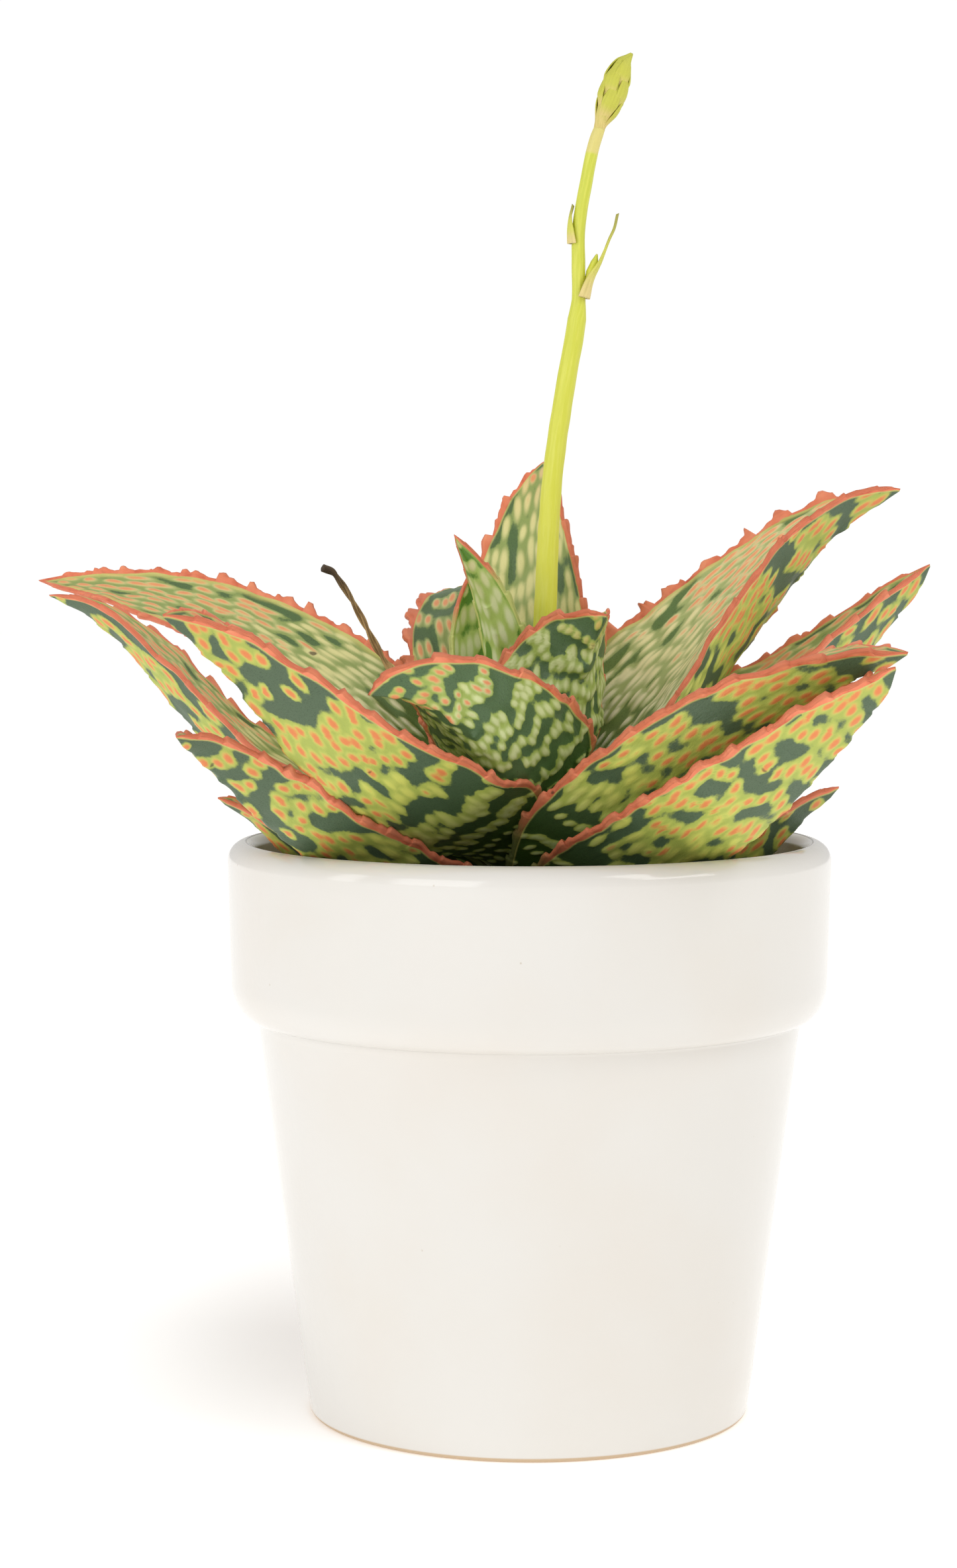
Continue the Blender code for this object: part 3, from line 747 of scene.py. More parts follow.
@dataclass
class Pot:
    """The ceramic pot: foot, straight taper, stepped collar, rounded rim, and its inside."""
    height: float = 124.0
    rim_radius: float = 64.9
    rim_outer_rounding: float = 4.0
    rim_inner_rounding: float = 2.5
    collar_inner_radius: float = 58.9
    collar_low_radius: float = 64.25
    collar_low_z: float = 94.0
    corner_drop: float = 8.0
    corner_inset: float = 0.5
    neck_radius: float = 58.4
    neck_z: float = 84.0
    step_low: float = 9.0
    step_high: float = 13.0
    step_in: float = 0.6
    foot_bend_radius: float = 49.0
    foot_bend_z: float = 11.0
    foot_radius: float = 47.5
    foot_rounding: float = 1.3
    wall: float = 5.2
    floor: float = 8.0
    floor_slope: float = 6.0
    floor_rise: float = 2.0
    sides: int = 192
    span: float = 4.0

    def outside(self) -> Array:
        """Outline of the outer face, with the collar's rounded step.

        Returns:
            Radius and height, from the edge of the foot up to the rim.
        """
        rounding = self.foot_rounding
        foot = arc((self.foot_radius - rounding, rounding), (rounding, rounding), -90, 0, 8)
        drop = self.collar_low_z - self.corner_drop
        width = self.collar_low_radius - self.neck_radius - self.corner_inset
        corner_centre = self.collar_low_radius - width, self.collar_low_z
        fillet = [[self.neck_radius, self.neck_z], [self.neck_radius + 0.12, self.neck_z + 1.3],
                  [self.neck_radius + 0.6, drop + 0.1]]
        corner = arc(corner_centre, (width, self.corner_drop), -75, 0, 16)
        bend = [[self.foot_bend_radius - 0.12, self.foot_bend_z - 1.2],
                [self.foot_bend_radius + 0.12, self.foot_bend_z + 1.2]]
        rounding = self.rim_outer_rounding
        rim = arc((self.rim_radius - rounding, self.height - rounding), (rounding, rounding), 0, 90, 14)
        return np.concatenate([foot, bend, fillet, corner, rim])

    def inside(self) -> Array:
        """Outline of the inner face.

        Returns:
            Radius and height, from the rim down the inner wall to the edge of the pot's floor.
        """
        rounding, inner = self.rim_inner_rounding, self.collar_inner_radius
        low = self.foot_bend_radius - self.wall
        lip = arc((inner + rounding, self.height - rounding), (rounding, rounding), 96, 180, 8)
        wall = [[inner, self.neck_z + self.step_high], [inner - self.step_in, self.neck_z + self.step_low],
                [self.neck_radius - self.wall, self.neck_z],
                [low - 1.0, self.floor + self.floor_rise], [low - self.floor_slope, self.floor]]
        return np.concatenate([lip, wall])

    def build(self) -> None:
        """Turn the outline and dress it."""
        outline = dense(np.concatenate([self.outside(), self.inside()]), self.span)
        surface = turned_surface(np.concatenate([[[0.0, 0.0]], outline, [[0.0, self.floor]]]), self.sides)
        surface.build("glazed_pot", Glaze().material(), "glazed_ceramic", "pot")


@dataclass
class Soil:
    """Potting soil in the pot: a lumpy top round the stem, and loose crumbs on it."""
    pot: Pot
    gap: float = 0.3
    edge_z: float = 100.5
    middle_z: float = 104.0
    hole_radius: float = 7.3
    hole_z: float = 85.7
    sides: int = 150
    crumbs: int = 440
    crumb_sides: int = 8
    seed: int = 41

    def top(self, radius: Array) -> Array:
        """Height of the soil before its lumps: a low mound that is highest at the stem.

        Args:
            radius: Distance from the axis.

        Returns:
            The height there.
        """
        radii = [self.hole_radius, 18, 30, 44, self.pot.collar_inner_radius - 1.8]
        heights = [self.middle_z, self.middle_z - 0.4, self.middle_z - 1.5, self.edge_z + 0.6, self.edge_z]
        return np.interp(radius, radii, heights)

    def lumps(self, x: Array, y: Array) -> Array:
        """Lumps of the surface: waves of 9, 3.4 and 1.6 mm on top of each other."""
        return (0.4 * ripple(x, y, 9.0, self.seed) + 0.24 * ripple(x, y, 3.4, self.seed + 1)
                + 0.12 * ripple(x, y, 1.6, self.seed + 2))

    def body(self) -> Surface:
        """The soil as one turned solid whose top is lifted by the lumps away from its edges.

        Returns:
            The closed surface, with the soil's shade as a mark.
        """
        pot = self.pot
        wall = pot.collar_inner_radius - self.gap
        low = pot.foot_bend_radius - pot.wall
        radii = np.linspace(wall - 1.5, self.hole_radius, 60)
        top = np.stack([radii, self.top(radii)], 1)
        side = [[low - pot.floor_slope, pot.floor + self.gap], [low - 1.3, pot.floor + 2.3],
                [pot.neck_radius - pot.wall - self.gap, pot.neck_z],
                [wall - pot.step_in, pot.neck_z + pot.step_low], [wall, pot.neck_z + pot.step_high],
                [wall, self.edge_z - 1.2]]
        outline = np.concatenate([[[0.0, pot.floor + self.gap]], side, top,
                                  [[self.hole_radius, self.hole_z], [0.0, self.hole_z]]])
        surface = turned_surface(outline, self.sides)
        x, y, z = surface.points.T
        reach = np.hypot(x, y)
        loose = smooth((reach - self.hole_radius - 0.5) / 2) * smooth((wall - 0.5 - reach) / 2)
        surface.points[:, 2] += np.where(z > self.edge_z - 0.5, loose * self.lumps(x, y), 0.0)
        surface.marks["shade"] = 0.5 + 0.3 * ripple(x, y, 7.0, self.seed + 3)
        return surface

    def loose_crumbs(self) -> Surface:
        """Small uneven crumbs half sunk in the top, each a rounded lump with crumb_sides sides.

        Returns:
            All crumbs as one surface, with each one's own shade as a mark.
        """
        rng = np.random.default_rng(self.seed)
        count, sides = self.crumbs, self.crumb_sides
        near, far = self.hole_radius + 2, self.pot.collar_inner_radius - 3
        reach = np.sqrt(rng.uniform(near ** 2, far ** 2, count))
        angle = rng.uniform(0, TURN, count)
        x, y = reach * np.cos(angle), reach * np.sin(angle)
        size = rng.uniform(0.5, 1.5, count) ** 1.3
        places = np.stack([x, y, self.top(reach) + self.lumps(x, y) + size * 0.25], 1)
        tilt, turn = np.meshgrid(np.radians([40, 90, 140]), np.linspace(0, TURN, sides, endpoint=False),
                                 indexing="ij")
        ball = np.stack([np.sin(tilt) * np.cos(turn), np.sin(tilt) * np.sin(turn), -np.cos(tilt)], -1)
        parts = []
        for place, big in zip(places, size):
            stretch = big * rng.uniform(0.6, 1.2, 3)
            rings = place + ball * stretch * rng.uniform(0.8, 1.15, (3, sides, 1))
            shade = np.full((3, sides), rng.uniform(0.0, 1.0) ** 2)
            over = np.array([0, 0, 0.3 * stretch[2]])
            poles = [rings[0].mean(axis=0) - over, rings[-1].mean(axis=0) + over]
            parts.append(ring_surface(rings, {"shade": shade}, np.zeros((3, sides, 2)), *poles))
        return Surface.joined(parts)

    def build(self) -> None:
        """Make the soil and its crumbs as one piece."""
        whole = Surface.joined([self.body(), self.loose_crumbs()])
        whole.build("potting_soil", Earth().material(), "soil", "soil")


@dataclass
class Crown:
    """The short stem that carries the leaves, ringed by the bases of leaves that fell."""
    radius: float = 7.0
    top_z: float = 134.6
    foot_z: float = 86.0
    bevel: float = 2.0
    scar: float = 0.25
    scars: int = 5
    sides: int = 64

    def build(self) -> None:
        """Turn the stem with a wave at each scar, and dress it."""
        z = np.linspace(self.foot_z + self.bevel, self.top_z - self.bevel, 90)
        wave = 0.5 - 0.5 * np.cos(TURN * self.scars * (z - z[-1]) / (z[-1] - z[0]))
        side = np.stack([self.radius - self.scar * wave ** 2, z], 1)
        foot = [[0.0, self.foot_z], [self.radius - self.bevel, self.foot_z]]
        top = [[self.radius, self.top_z - 0.5], [self.radius - 0.6, self.top_z], [0.0, self.top_z]]
        surface = turned_surface(np.concatenate([foot, side, top]), self.sides)
        surface.build("stem", Bark().material(), "crown_skin", "crown")


class Skin(Enum):
    """Kinds of leaf by colour: grown, young and smooth, those of the heart, and pale on the upper face,
    partly by its own colour and partly by painted light.
    """
    GROWN = 1
    YOUNG = 2
    HEART = 3
    PALE_AND_LIT = 4


@dataclass(frozen=True)
class SpotRule:
    """How the spots of one face are laid out, in millimetres.

    The spots stand side by side in cross bands that run in a zigzag, band_step apart along the leaf and
    pitch apart across it. They are drawn out along the leaf, and near its base they are smaller and rounder.
    A share keep of them is there, and a share twins of those has a second spot close behind it. Cores show
    from the share core_from of the length on. point makes the end towards the leaf's tip steeper. The bands
    run from first to the share last of the length, and ripe_from and ripe_over are the shares of the length
    where the spots start to grow to their full size and over which they do. A zigzag is period long.
    """
    band_step: float
    base_step: float
    pitch: float
    half_length: float
    half_width: float
    zigzag: float
    keep: float
    twins: float
    core_from: float
    height: float
    point: float = 0.0
    first: float = 1.5
    last: float = 0.985
    ripe_from: float = 0.08
    ripe_over: float = 0.36
    period: tuple[float, float] = (8.0, 11.0)
    core_fade: float = 0.2


OUTER_SPOTS = SpotRule(band_step=10.2, base_step=4.6, pitch=2.15, half_length=3.15, half_width=1.02,
                       zigzag=2.7, keep=0.95, twins=0.2, core_from=0.26, height=0.3)
INNER_SPOTS = SpotRule(band_step=6.6, base_step=4.4, pitch=1.7, half_length=4.1, half_width=0.8, zigzag=2.6,
                       keep=0.86, twins=0.0, core_from=0.36, height=0.42, point=0.28)
CREAM_STREAKS = SpotRule(band_step=6.6, base_step=4.6, pitch=1.75, half_length=4.2, half_width=0.82,
                         zigzag=2.8, keep=0.9, twins=0.0, core_from=0.34, height=0.42, point=0.28)
BLOTCHES = SpotRule(band_step=7.0, base_step=5.4, pitch=2.0, half_length=3.4, half_width=1.05, zigzag=2.2,
                    keep=0.88, twins=0.1, core_from=0.8, height=0.36, point=0.15)
HEART_SPOTS = SpotRule(band_step=5.0, base_step=3.8, pitch=1.75, half_length=1.65, half_width=0.84,
                       zigzag=1.7, keep=0.96, twins=0.0, core_from=0.56, height=0.34)
YOUNG_SPOTS = SpotRule(band_step=6.0, base_step=5.4, pitch=2.15, half_length=2.8, half_width=1.12,
                       zigzag=1.4, keep=0.96, twins=0.0, core_from=1.2, height=0.28)


@dataclass(frozen=True)
class Leaf:
    """One leaf: angles in degrees, lengths in millimetres.

    rise is the slope of the middle line at 0, 35, 70 and 100 % of the length; sway turns it sideways
    towards the tip; cup is the lift of the margins over the channel, as a share of the half width. lump is
    the height of broad bumps, pimple raises the spots, tooth is the height of the largest teeth, ragged
    makes them uneven, ribbon is the ribbon's width on each face, sides scales teeth and ribbon of the left
    and right margin, cores moves the start of the spots' cores towards the tip, detail thins the grid of a
    leaf that stands at the back, and rules lay out the spots of the upper and lower faces. The leaf starts
    root_radius from the axis with base_share of its width, taper is the power of its taper to the tip, and
    depth is the keel's depth as a share of the half width.

    A large tooth stands on each TOOTH_PITCH of a margin. Its rise takes TOOTH_RUN of that pitch, a small
    one's rise SMALL_RUN of it, and the drop behind either takes DROP of its rise. TOOTH_REACH is how far
    inwards a tooth lifts the faces. MARGIN is the thickness of the leaf's edge and BULGE its rounding, and
    CREST the half width of the keel's crest. END is the share of the length where the last section stands.
    The margins wave by WAVE_HEIGHT over WAVE_LENGTH, and the broad bumps are LUMP_LENGTH long. The width
    swells up to the share SWELL_END, the large teeth end at the share TEETH_END, SMALL_TEETH small ones
    stand beside each of them, and the keel's teeth are KEEL_TOOTH high. Points stand ROW_STEP apart along
    the leaf and about COLUMN_STEP apart across it, and FACE_SHIFT parts the two faces on the UV map.
    """
    name: str
    azimuth: float
    rise: tuple[float, ...]
    length: float
    width: float
    root_z: float
    sway: float = 0.0
    roll: float = 0.0
    twist: float = 0.0
    cup: float = 0.4
    taper: float = 1.9
    depth: float = 0.3
    root_radius: float = 7.4
    base_share: float = 0.5
    lump: float = 0.2
    pimple: float = 1.0
    tooth: float = 1.2
    ragged: float = 0.15
    ribbon: float = 0.26
    sides: tuple[float, float] = (1.0, 1.0)
    cores: float = 0.0
    detail: float = 1.0
    rules: tuple[SpotRule, SpotRule] = (INNER_SPOTS, OUTER_SPOTS)
    skin: Skin = Skin.GROWN
    TOOTH_PITCH: ClassVar[float] = 8.6
    TOOTH_RUN: ClassVar[float] = 0.8
    SMALL_RUN: ClassVar[float] = 0.5
    SMALL_TEETH: ClassVar[float] = 1.7
    KEEL_TOOTH: ClassVar[float] = 0.7
    TEETH_END: ClassVar[float] = 0.965
    DROP: ClassVar[float] = 0.05
    TOOTH_REACH: ClassVar[float] = 0.9
    MARGIN: ClassVar[float] = 0.8
    BULGE: ClassVar[float] = 0.22
    CREST: ClassVar[float] = 0.7
    CHANNEL_POWER: ClassVar[float] = 1.6
    KEEL_POWER: ClassVar[float] = 1.5
    WAVE_LENGTH: ClassVar[float] = 17.0
    WAVE_HEIGHT: ClassVar[float] = 0.4
    LUMP_LENGTH: ClassVar[float] = 9.0
    SWELL_END: ClassVar[float] = 0.32
    END: ClassVar[float] = 0.997
    ROW_STEP: ClassVar[float] = 0.6
    COLUMN_STEP: ClassVar[float] = 0.5
    FINE_STEPS: ClassVar[int] = 240
    FACE_SHIFT: ClassVar[float] = 60.0

    def middle(self, t: Array) -> tuple[Array, Array, Array]:
        """Middle line with its unit vectors to the left and up.

        The slope follows a cubic through rise, the heading turns by sway times t to the power 1.5, and the
        section rolls by roll, then by twist times t to the power 1.3.

        Args:
            t: Shares of the length.

        Returns:
            The places, the vectors to the left and the vectors up.
        """
        fine = np.linspace(0.0, 1.0, self.FINE_STEPS + 1)
        slope = np.radians(np.polyval(np.polyfit([0.0, 0.35, 0.7, 1.0], self.rise, 3), fine))
        heading = np.radians(self.azimuth + self.sway * fine**1.5)
        along = np.stack([np.cos(slope) * np.cos(heading), np.cos(slope) * np.sin(heading), np.sin(slope)], 1)
        start = math.radians(self.azimuth)
        root = np.array([self.root_radius * math.cos(start), self.root_radius * math.sin(start), self.root_z])
        steps = (along[1:] + along[:-1]) / 2 * self.length / self.FINE_STEPS
        line = root + np.concatenate([np.zeros((1, 3)), np.cumsum(steps, axis=0)])
        left = np.stack([-np.sin(heading), np.cos(heading), np.zeros_like(heading)], 1)
        up = np.cross(along, left)
        turn = np.radians(self.roll * smooth(fine / 0.3) + self.twist * fine**1.3)[:, None]
        left, up = left * np.cos(turn) + up * np.sin(turn), up * np.cos(turn) - left * np.sin(turn)
        return read_at(t, fine, line), read_at(t, fine, left), read_at(t, fine, up)

    def sizes(self, t: Array) -> tuple[Array, Array, Array]:
        """Sizes of the section: its width swells from the base and tapers to the tip, at most width.

        Args:
            t: Shares of the length.

        Returns:
            Half width, lift of the margins and depth of the keel.
        """
        def share(s: Array) -> Array:
            """Width before it is scaled: a swell from the base times a taper to the tip."""
            rise = np.sin(math.pi / 2 * np.clip(s / self.SWELL_END, 0, 1))
            swell = self.base_share + (1 - self.base_share) * rise
            return swell * np.clip(1 - np.clip(s, 1e-9, 1)**self.taper, 0, 1)**0.95
        f = share(t) / share(np.linspace(0, 1, 61)).max()
        half = self.width / 2 * f
        lift = self.cup * half * (0.45 + 0.55 * smooth(t / 0.25))
        keel = (self.depth * self.width / 2 + 0.25 * half) * f**0.55 * (0.55 + 0.45 * smooth(t / 0.3))
        return half, lift, keel

    def seed(self) -> int:
        """Seed of the leaf's random draws, the same as in the part's source."""
        return len(self.name) * 101 + round(self.azimuth)

    def spans(self) -> int:
        """Number of large teeth on each margin."""
        return max(8, round(self.length / self.TOOTH_PITCH))

    def rows(self) -> Array:
        """Shares of the length at which sections stand.

        Returns:
            Even steps and, unless the leaf stands at the back, the places where the large teeth drop.
        """
        even = np.linspace(0.0, self.END, round(self.length / self.ROW_STEP * self.detail))
        if self.detail < 1:
            return even
        places = np.concatenate([row[0] for row in self.tooth_rows()[:2]])
        drop = self.DROP * self.TOOTH_RUN / self.spans()
        return np.unique(np.clip(np.concatenate([even, places, places + drop]), 0.0, self.END))

    def tooth_rows(self) -> list[tuple[Array, Array, Array, Array]]:
        """Draw the teeth of the left margin, the right margin and the keel.

        Returns:
            For each, the places and heights of its large teeth, then those of its small ones.
        """
        spans = self.spans()
        cuts = np.linspace(0.0, self.TEETH_END, spans + 1)
        peaks = cuts[:-1] + self.TOOTH_RUN * np.diff(cuts)
        rng = np.random.default_rng(self.seed())
        half, _, _ = self.sizes(peaks)
        fade = np.clip(half / 4.0, 0.25, 1.0)
        heights = [side * self.tooth * fade * rng.uniform(0.6, 1.0, spans) for side in self.sides]
        heights.append(self.KEEL_TOOTH * fade * smooth((peaks - 0.25) / 0.3))
        extra = np.random.default_rng(self.seed() + 7)
        rows = []
        for high in heights:
            places = peaks + extra.uniform(-0.12, 0.12, spans) / spans
            small = np.sort(extra.uniform(0.02, 0.985, int(self.SMALL_TEETH * spans)))
            small_high = extra.uniform(0.3, 0.75, len(small)) * np.interp(small, places, high)
            rows.append((places, high, small, small_high))
        return rows

    def teeth(self, t: Array) -> list[Array]:
        """Height of the teeth along the leaf.

        Each tooth is a sawtooth that leans to the tip: it rises as a power of 1.2 and drops at once. The
        large ones stand about where the part has them, with small ones strewn between.

        Args:
            t: Shares of the length.

        Returns:
            The heights on the left margin, the right margin and the keel.
        """
        heights = []
        for salt, (places, high, small, small_high) in enumerate(self.tooth_rows()):
            large = self.sawtooth(t, places, high, self.TOOTH_RUN / self.spans())
            fine = self.sawtooth(t, small, small_high, self.SMALL_RUN / self.spans())
            uneven = ripple(t * self.length, 0 * t, 3.4, self.seed() + 11 + salt)
            heights.append(np.maximum(large, fine) * (1 + self.ragged * uneven))
        return heights

    @staticmethod
    def sawtooth(t: Array, places: Array, heights: Array, base: float) -> Array:
        """Highest of the teeth, each of them ((t - place)/base + 1) to the power 1.2 up to its place.

        Args:
            t: Shares of the length.
            places: Shares at which the teeth are highest.
            heights: Their heights.
            base: Length of a tooth's rise, as a share.

        Returns:
            The height at each share.
        """
        ramp = np.clip((t[:, None] - places) / base + 1, 0, 1)
        fall = np.clip(1 - (t[:, None] - places) / (Leaf.DROP * base), 0, 1)
        return (ramp**1.2 * fall * heights).max(axis=1)

    def columns(self) -> tuple[Array, Array, Array]:
        """Places round a section: across from 1 to -1 over the channel and back under the keel.

        Returns:
            The place across, the share of the way from the upper to the lower face, and the bulge of the
            rounded margins.
        """
        count = int(np.clip(round(self.width / self.COLUMN_STEP), 30, 76) * self.detail**0.5)
        q = np.linspace(1, -1, count)
        face = 0.55 * q + 0.45 * np.sin(q * math.pi / 2)
        bend = np.radians([35.0, 90.0, 145.0])
        upper, lower = np.zeros(count), np.ones(count)
        across = np.concatenate([face, -np.ones(3), face[::-1], np.ones(3)])
        under = np.concatenate([upper, (1 - np.cos(bend)) / 2, lower, (1 + np.cos(bend)) / 2])
        bulge = np.concatenate([upper, np.sin(bend), upper, np.sin(bend)])
        return across, under, bulge

    def spots(self, rule: SpotRule, salt: int, reach: Array) -> Array:
        """Spots of one face, one row each: along, across, half length, half width, core and slant.

        Args:
            rule: How the spots are laid out.
            salt: Number that sets the two faces' draws apart.
            reach: Half of the face's girth at even steps of the length.

        Returns:
            The spots in millimetres on the flattened face.
        """
        rng = np.random.default_rng(self.seed() * 3 + salt)
        rows = []
        along = rule.first
        phase, period = rng.uniform(0, 1), rng.uniform(*rule.period)
        while along < self.length * rule.last:
            t = along / self.length
            ripe = smooth(np.array((t - rule.ripe_from) / rule.ripe_over))
            half = float(np.interp(t, np.linspace(0, 1, len(reach)), reach))
            pitch = rule.pitch * (1.3 - 0.3 * ripe)
            count = max(1, int(2 * half / pitch))
            across = (np.arange(count) - (count - 1) / 2 + rng.uniform(-0.4, 0.4)) * pitch
            across = across + rng.normal(0, 0.1 * pitch, count)
            phase += rng.uniform(-0.14, 0.14)
            wave = 2 * np.abs(2 * ((across / period + phase) % 1.0) - 1) - 1
            place = along + rule.zigzag * (0.3 + 0.7 * ripe) * wave
            place = place + rng.uniform(-0.2, 0.2) * across + rng.normal(0, 0.38, count)
            grow = rng.uniform(0.7, 1.25, count)
            long = rule.half_length * grow * (0.48 + 0.52 * ripe) * np.clip(half / 5.0, 0.6, 1.0)
            wide = rule.half_width * (0.78 + 0.22 * ripe) * rng.uniform(0.85, 1.12, count)
            start = rule.core_from + self.cores
            cored = (place / self.length - start) / rule.core_fade + rng.uniform(-0.5, 0.5, count)
            core = smooth(cored)
            slant = rng.normal(0, 0.05, count) - 0.1 * across / max(half, 1.0)
            kept = rng.uniform(0, 1, count) < rule.keep
            spots = np.stack([place, across, long, wide, core, slant], 1)[kept]
            twins = spots[rng.uniform(0, 1, len(spots)) < rule.twins * ripe]
            twins[:, 0] += rng.uniform(1.2, 1.7, len(twins)) * rule.half_length
            twins[:, 1] += pitch / 2
            rows += [spots, twins]
            along += (rule.base_step + (rule.band_step - rule.base_step) * ripe) * rng.uniform(0.85, 1.15)
        return np.concatenate(rows)

    @staticmethod
    def spot_fields(spots: Array, along: Array, across: Array, point: float) -> tuple[Array, Array, Array]:
        """Fields of the spots at places on a face.

        With r the distance in units of the spot's half sizes, halo is the sum over spots of exp(-r²), so
        that neighbours melt together, and dome is the highest of them, so that each stands by itself. core
        is the highest of them too, with each scaled by how full its core is.

        Args:
            spots: One row a spot, as the method spots gives them.
            along, across: Places on the flattened face.
            point: How much steeper a spot's end towards the tip is.

        Returns:
            halo, dome and core at those places.
        """
        halo, dome, core = (np.zeros(along.shape, np.float32) for _ in range(3))
        for place, side, long, wide, cored, slant in spots:
            near = np.flatnonzero(np.abs(along[:, 0] - place) < 3.5 * long + 1)
            if not len(near):
                continue
            rows = slice(near[0], near[-1] + 1)
            du = along[rows] - place
            dv = across[rows] - side - slant * du
            reach = 1.15 * long * (1 - point * np.sign(du))
            bell = np.exp(-(du / reach)**2 - (dv / (1.1 * wide))**2)
            halo[rows] += bell
            dome[rows] = np.maximum(dome[rows], bell)
            core[rows] = np.maximum(core[rows], cored * bell)
        return halo, dome, core

    def lofted(self, t: Array) -> tuple[Array, Array]:
        """Sections with their ribbons' teeth, slow waves of the margins and broad bumps.

        With v across from -1 to 1, the upper face is lift times |v| to the CHANNEL_POWER. The lower one is
        (lift + keel) times |v| to the KEEL_POWER, less the keel and the margin's thickness.

        Args:
            t: Shares of the length.

        Returns:
            The points, rows × columns × 3, and the height of the margin's tooth beside each.
        """
        line, left, up = self.middle(t)
        half, lift, keel = (a[:, None] for a in self.sizes(t))
        tooth_left, tooth_right, tooth_keel = (a[:, None] for a in self.teeth(t))
        across, under, bulge = (a[None] for a in self.columns())
        reach = np.abs(across)
        thin = np.clip((1 - t[:, None]) / 0.04, 0.25, 1.0)
        along = (t * self.length)[:, None] + 0 * across
        side = half * across
        tooth = np.where(across > 0, tooth_left, tooth_right)
        near = smooth(1 - half * (1 - reach) / self.TOOTH_REACH)
        slope = self.CHANNEL_POWER / 2 * lift + self.KEEL_POWER / 2 * (lift + keel)
        lean = np.arctan2(slope, np.maximum(half, 0.3))
        jut = tooth * near * np.cos(lean) + self.BULGE * bulge * thin
        upper = lift * reach**self.CHANNEL_POWER
        lower = (lift + keel) * reach**self.KEEL_POWER - keel - self.MARGIN * thin
        crest = smooth((t[:, None] - 0.35) / 0.25) * np.exp(-(side / self.CREST)**2) * np.clip(half / 5, 0, 1)
        lower = lower - under * crest * (0.15 + 0.7 * tooth_keel)
        rise = upper + (lower - upper) * under
        wave = ripple(along, 0 * across, self.WAVE_LENGTH, self.seed() + 3) * np.where(across > 0, 1.0, -0.8)
        rise = rise + self.WAVE_HEIGHT * wave * reach**3 * np.clip(half / 8, 0, 1) * smooth(t[:, None] / 0.2)
        lumps = ripple(along, side, self.LUMP_LENGTH, self.seed() + 5) * smooth((t[:, None] - 0.1) / 0.2)
        rise = rise + self.lump * lumps * np.clip(half / 6, 0, 1) + tooth * near * np.sin(lean)
        wide = side + np.sign(across) * jut
        return line[:, None] + left[:, None] * wide[..., None] + up[:, None] * rise[..., None], tooth

    def surface(self) -> Surface:
        """The whole leaf: its sections lofted, then raised by ribbons and spots.

        Returns:
            The closed leaf, with what its skin reads as marks.
        """
        t = self.rows()
        across, under, _ = self.columns()
        rings, tooth = self.lofted(t)
        along = (t * self.length)[:, None] + 0 * across
        half = self.sizes(t)[0][:, None]
        fields = {key: np.zeros(rings.shape[:2]) for key in ("halo", "dome", "core")}
        girth, edge, height = np.zeros((3, *rings.shape[:2]))
        base = 1 - smooth((t[:, None] - 0.15) / 0.4)
        for salt, (face, rule) in enumerate(zip((under == 0, under == 1), self.rules)):
            gaps = np.linalg.norm(np.diff(rings[:, face], axis=1), axis=2)
            run = np.concatenate([np.zeros((len(t), 1)), np.cumsum(gaps, axis=1)], axis=1)
            columns = run.shape[1]
            middle = (run[:, columns // 2, None] + run[:, (columns - 1) // 2, None]) / 2
            girth[:, face] = (middle - run) * (1 if salt == 0 else -1)
            edge[:, face] = np.minimum(run, run[:, -1:] - run)
            reach = np.interp(np.linspace(0, self.END, 200), t, run[:, -1] / 2)
            spots = self.spots(rule, salt + 1, reach)
            halo, dome, core = self.spot_fields(spots, along[:, face], girth[:, face], rule.point)
            for key, field in zip(fields, (halo, dome, core)):
                fields[key][:, face] = field
            relief = rule.height * self.pimple * smooth(dome) * (0.6 + 0.6 * base)
            height[:, face] = relief + 0.1 * core
        ribbon = (edge - tooth) / (self.ribbon * np.where(across > 0, *self.sides))
        bead = 1 - smooth((ribbon - 0.85) / 0.3)
        height = height * (1 - bead) + bead * (0.1 + 0.2 * tooth)
        height = height * np.clip(half / 3.0, 0, 1)
        normal = unit(np.cross(np.roll(rings, -1, 1) - np.roll(rings, 1, 1), np.gradient(rings, t, axis=0)))
        rings = rings + normal * height[..., None]
        marks = {**fields, "ribbon": ribbon, "inner": 1 - under + 0 * along, "tooth": tooth / self.tooth,
                 "share": along / self.length}
        tip = self.middle(np.array([1.0]))[0][0]
        flat = np.stack([along, girth + self.FACE_SHIFT * under], -1)
        return ring_surface(rings, marks, flat, rings[0].mean(axis=0), tip)

    def build(self, skins: dict[Skin, Material]) -> None:
        """Make the leaf and dress it."""
        slot = "young_leaf_skin" if "heart" in self.name else "leaf_skin"
        self.surface().build(self.name.replace("leaf", "aloe_leaf"), skins[self.skin], slot, self.name)


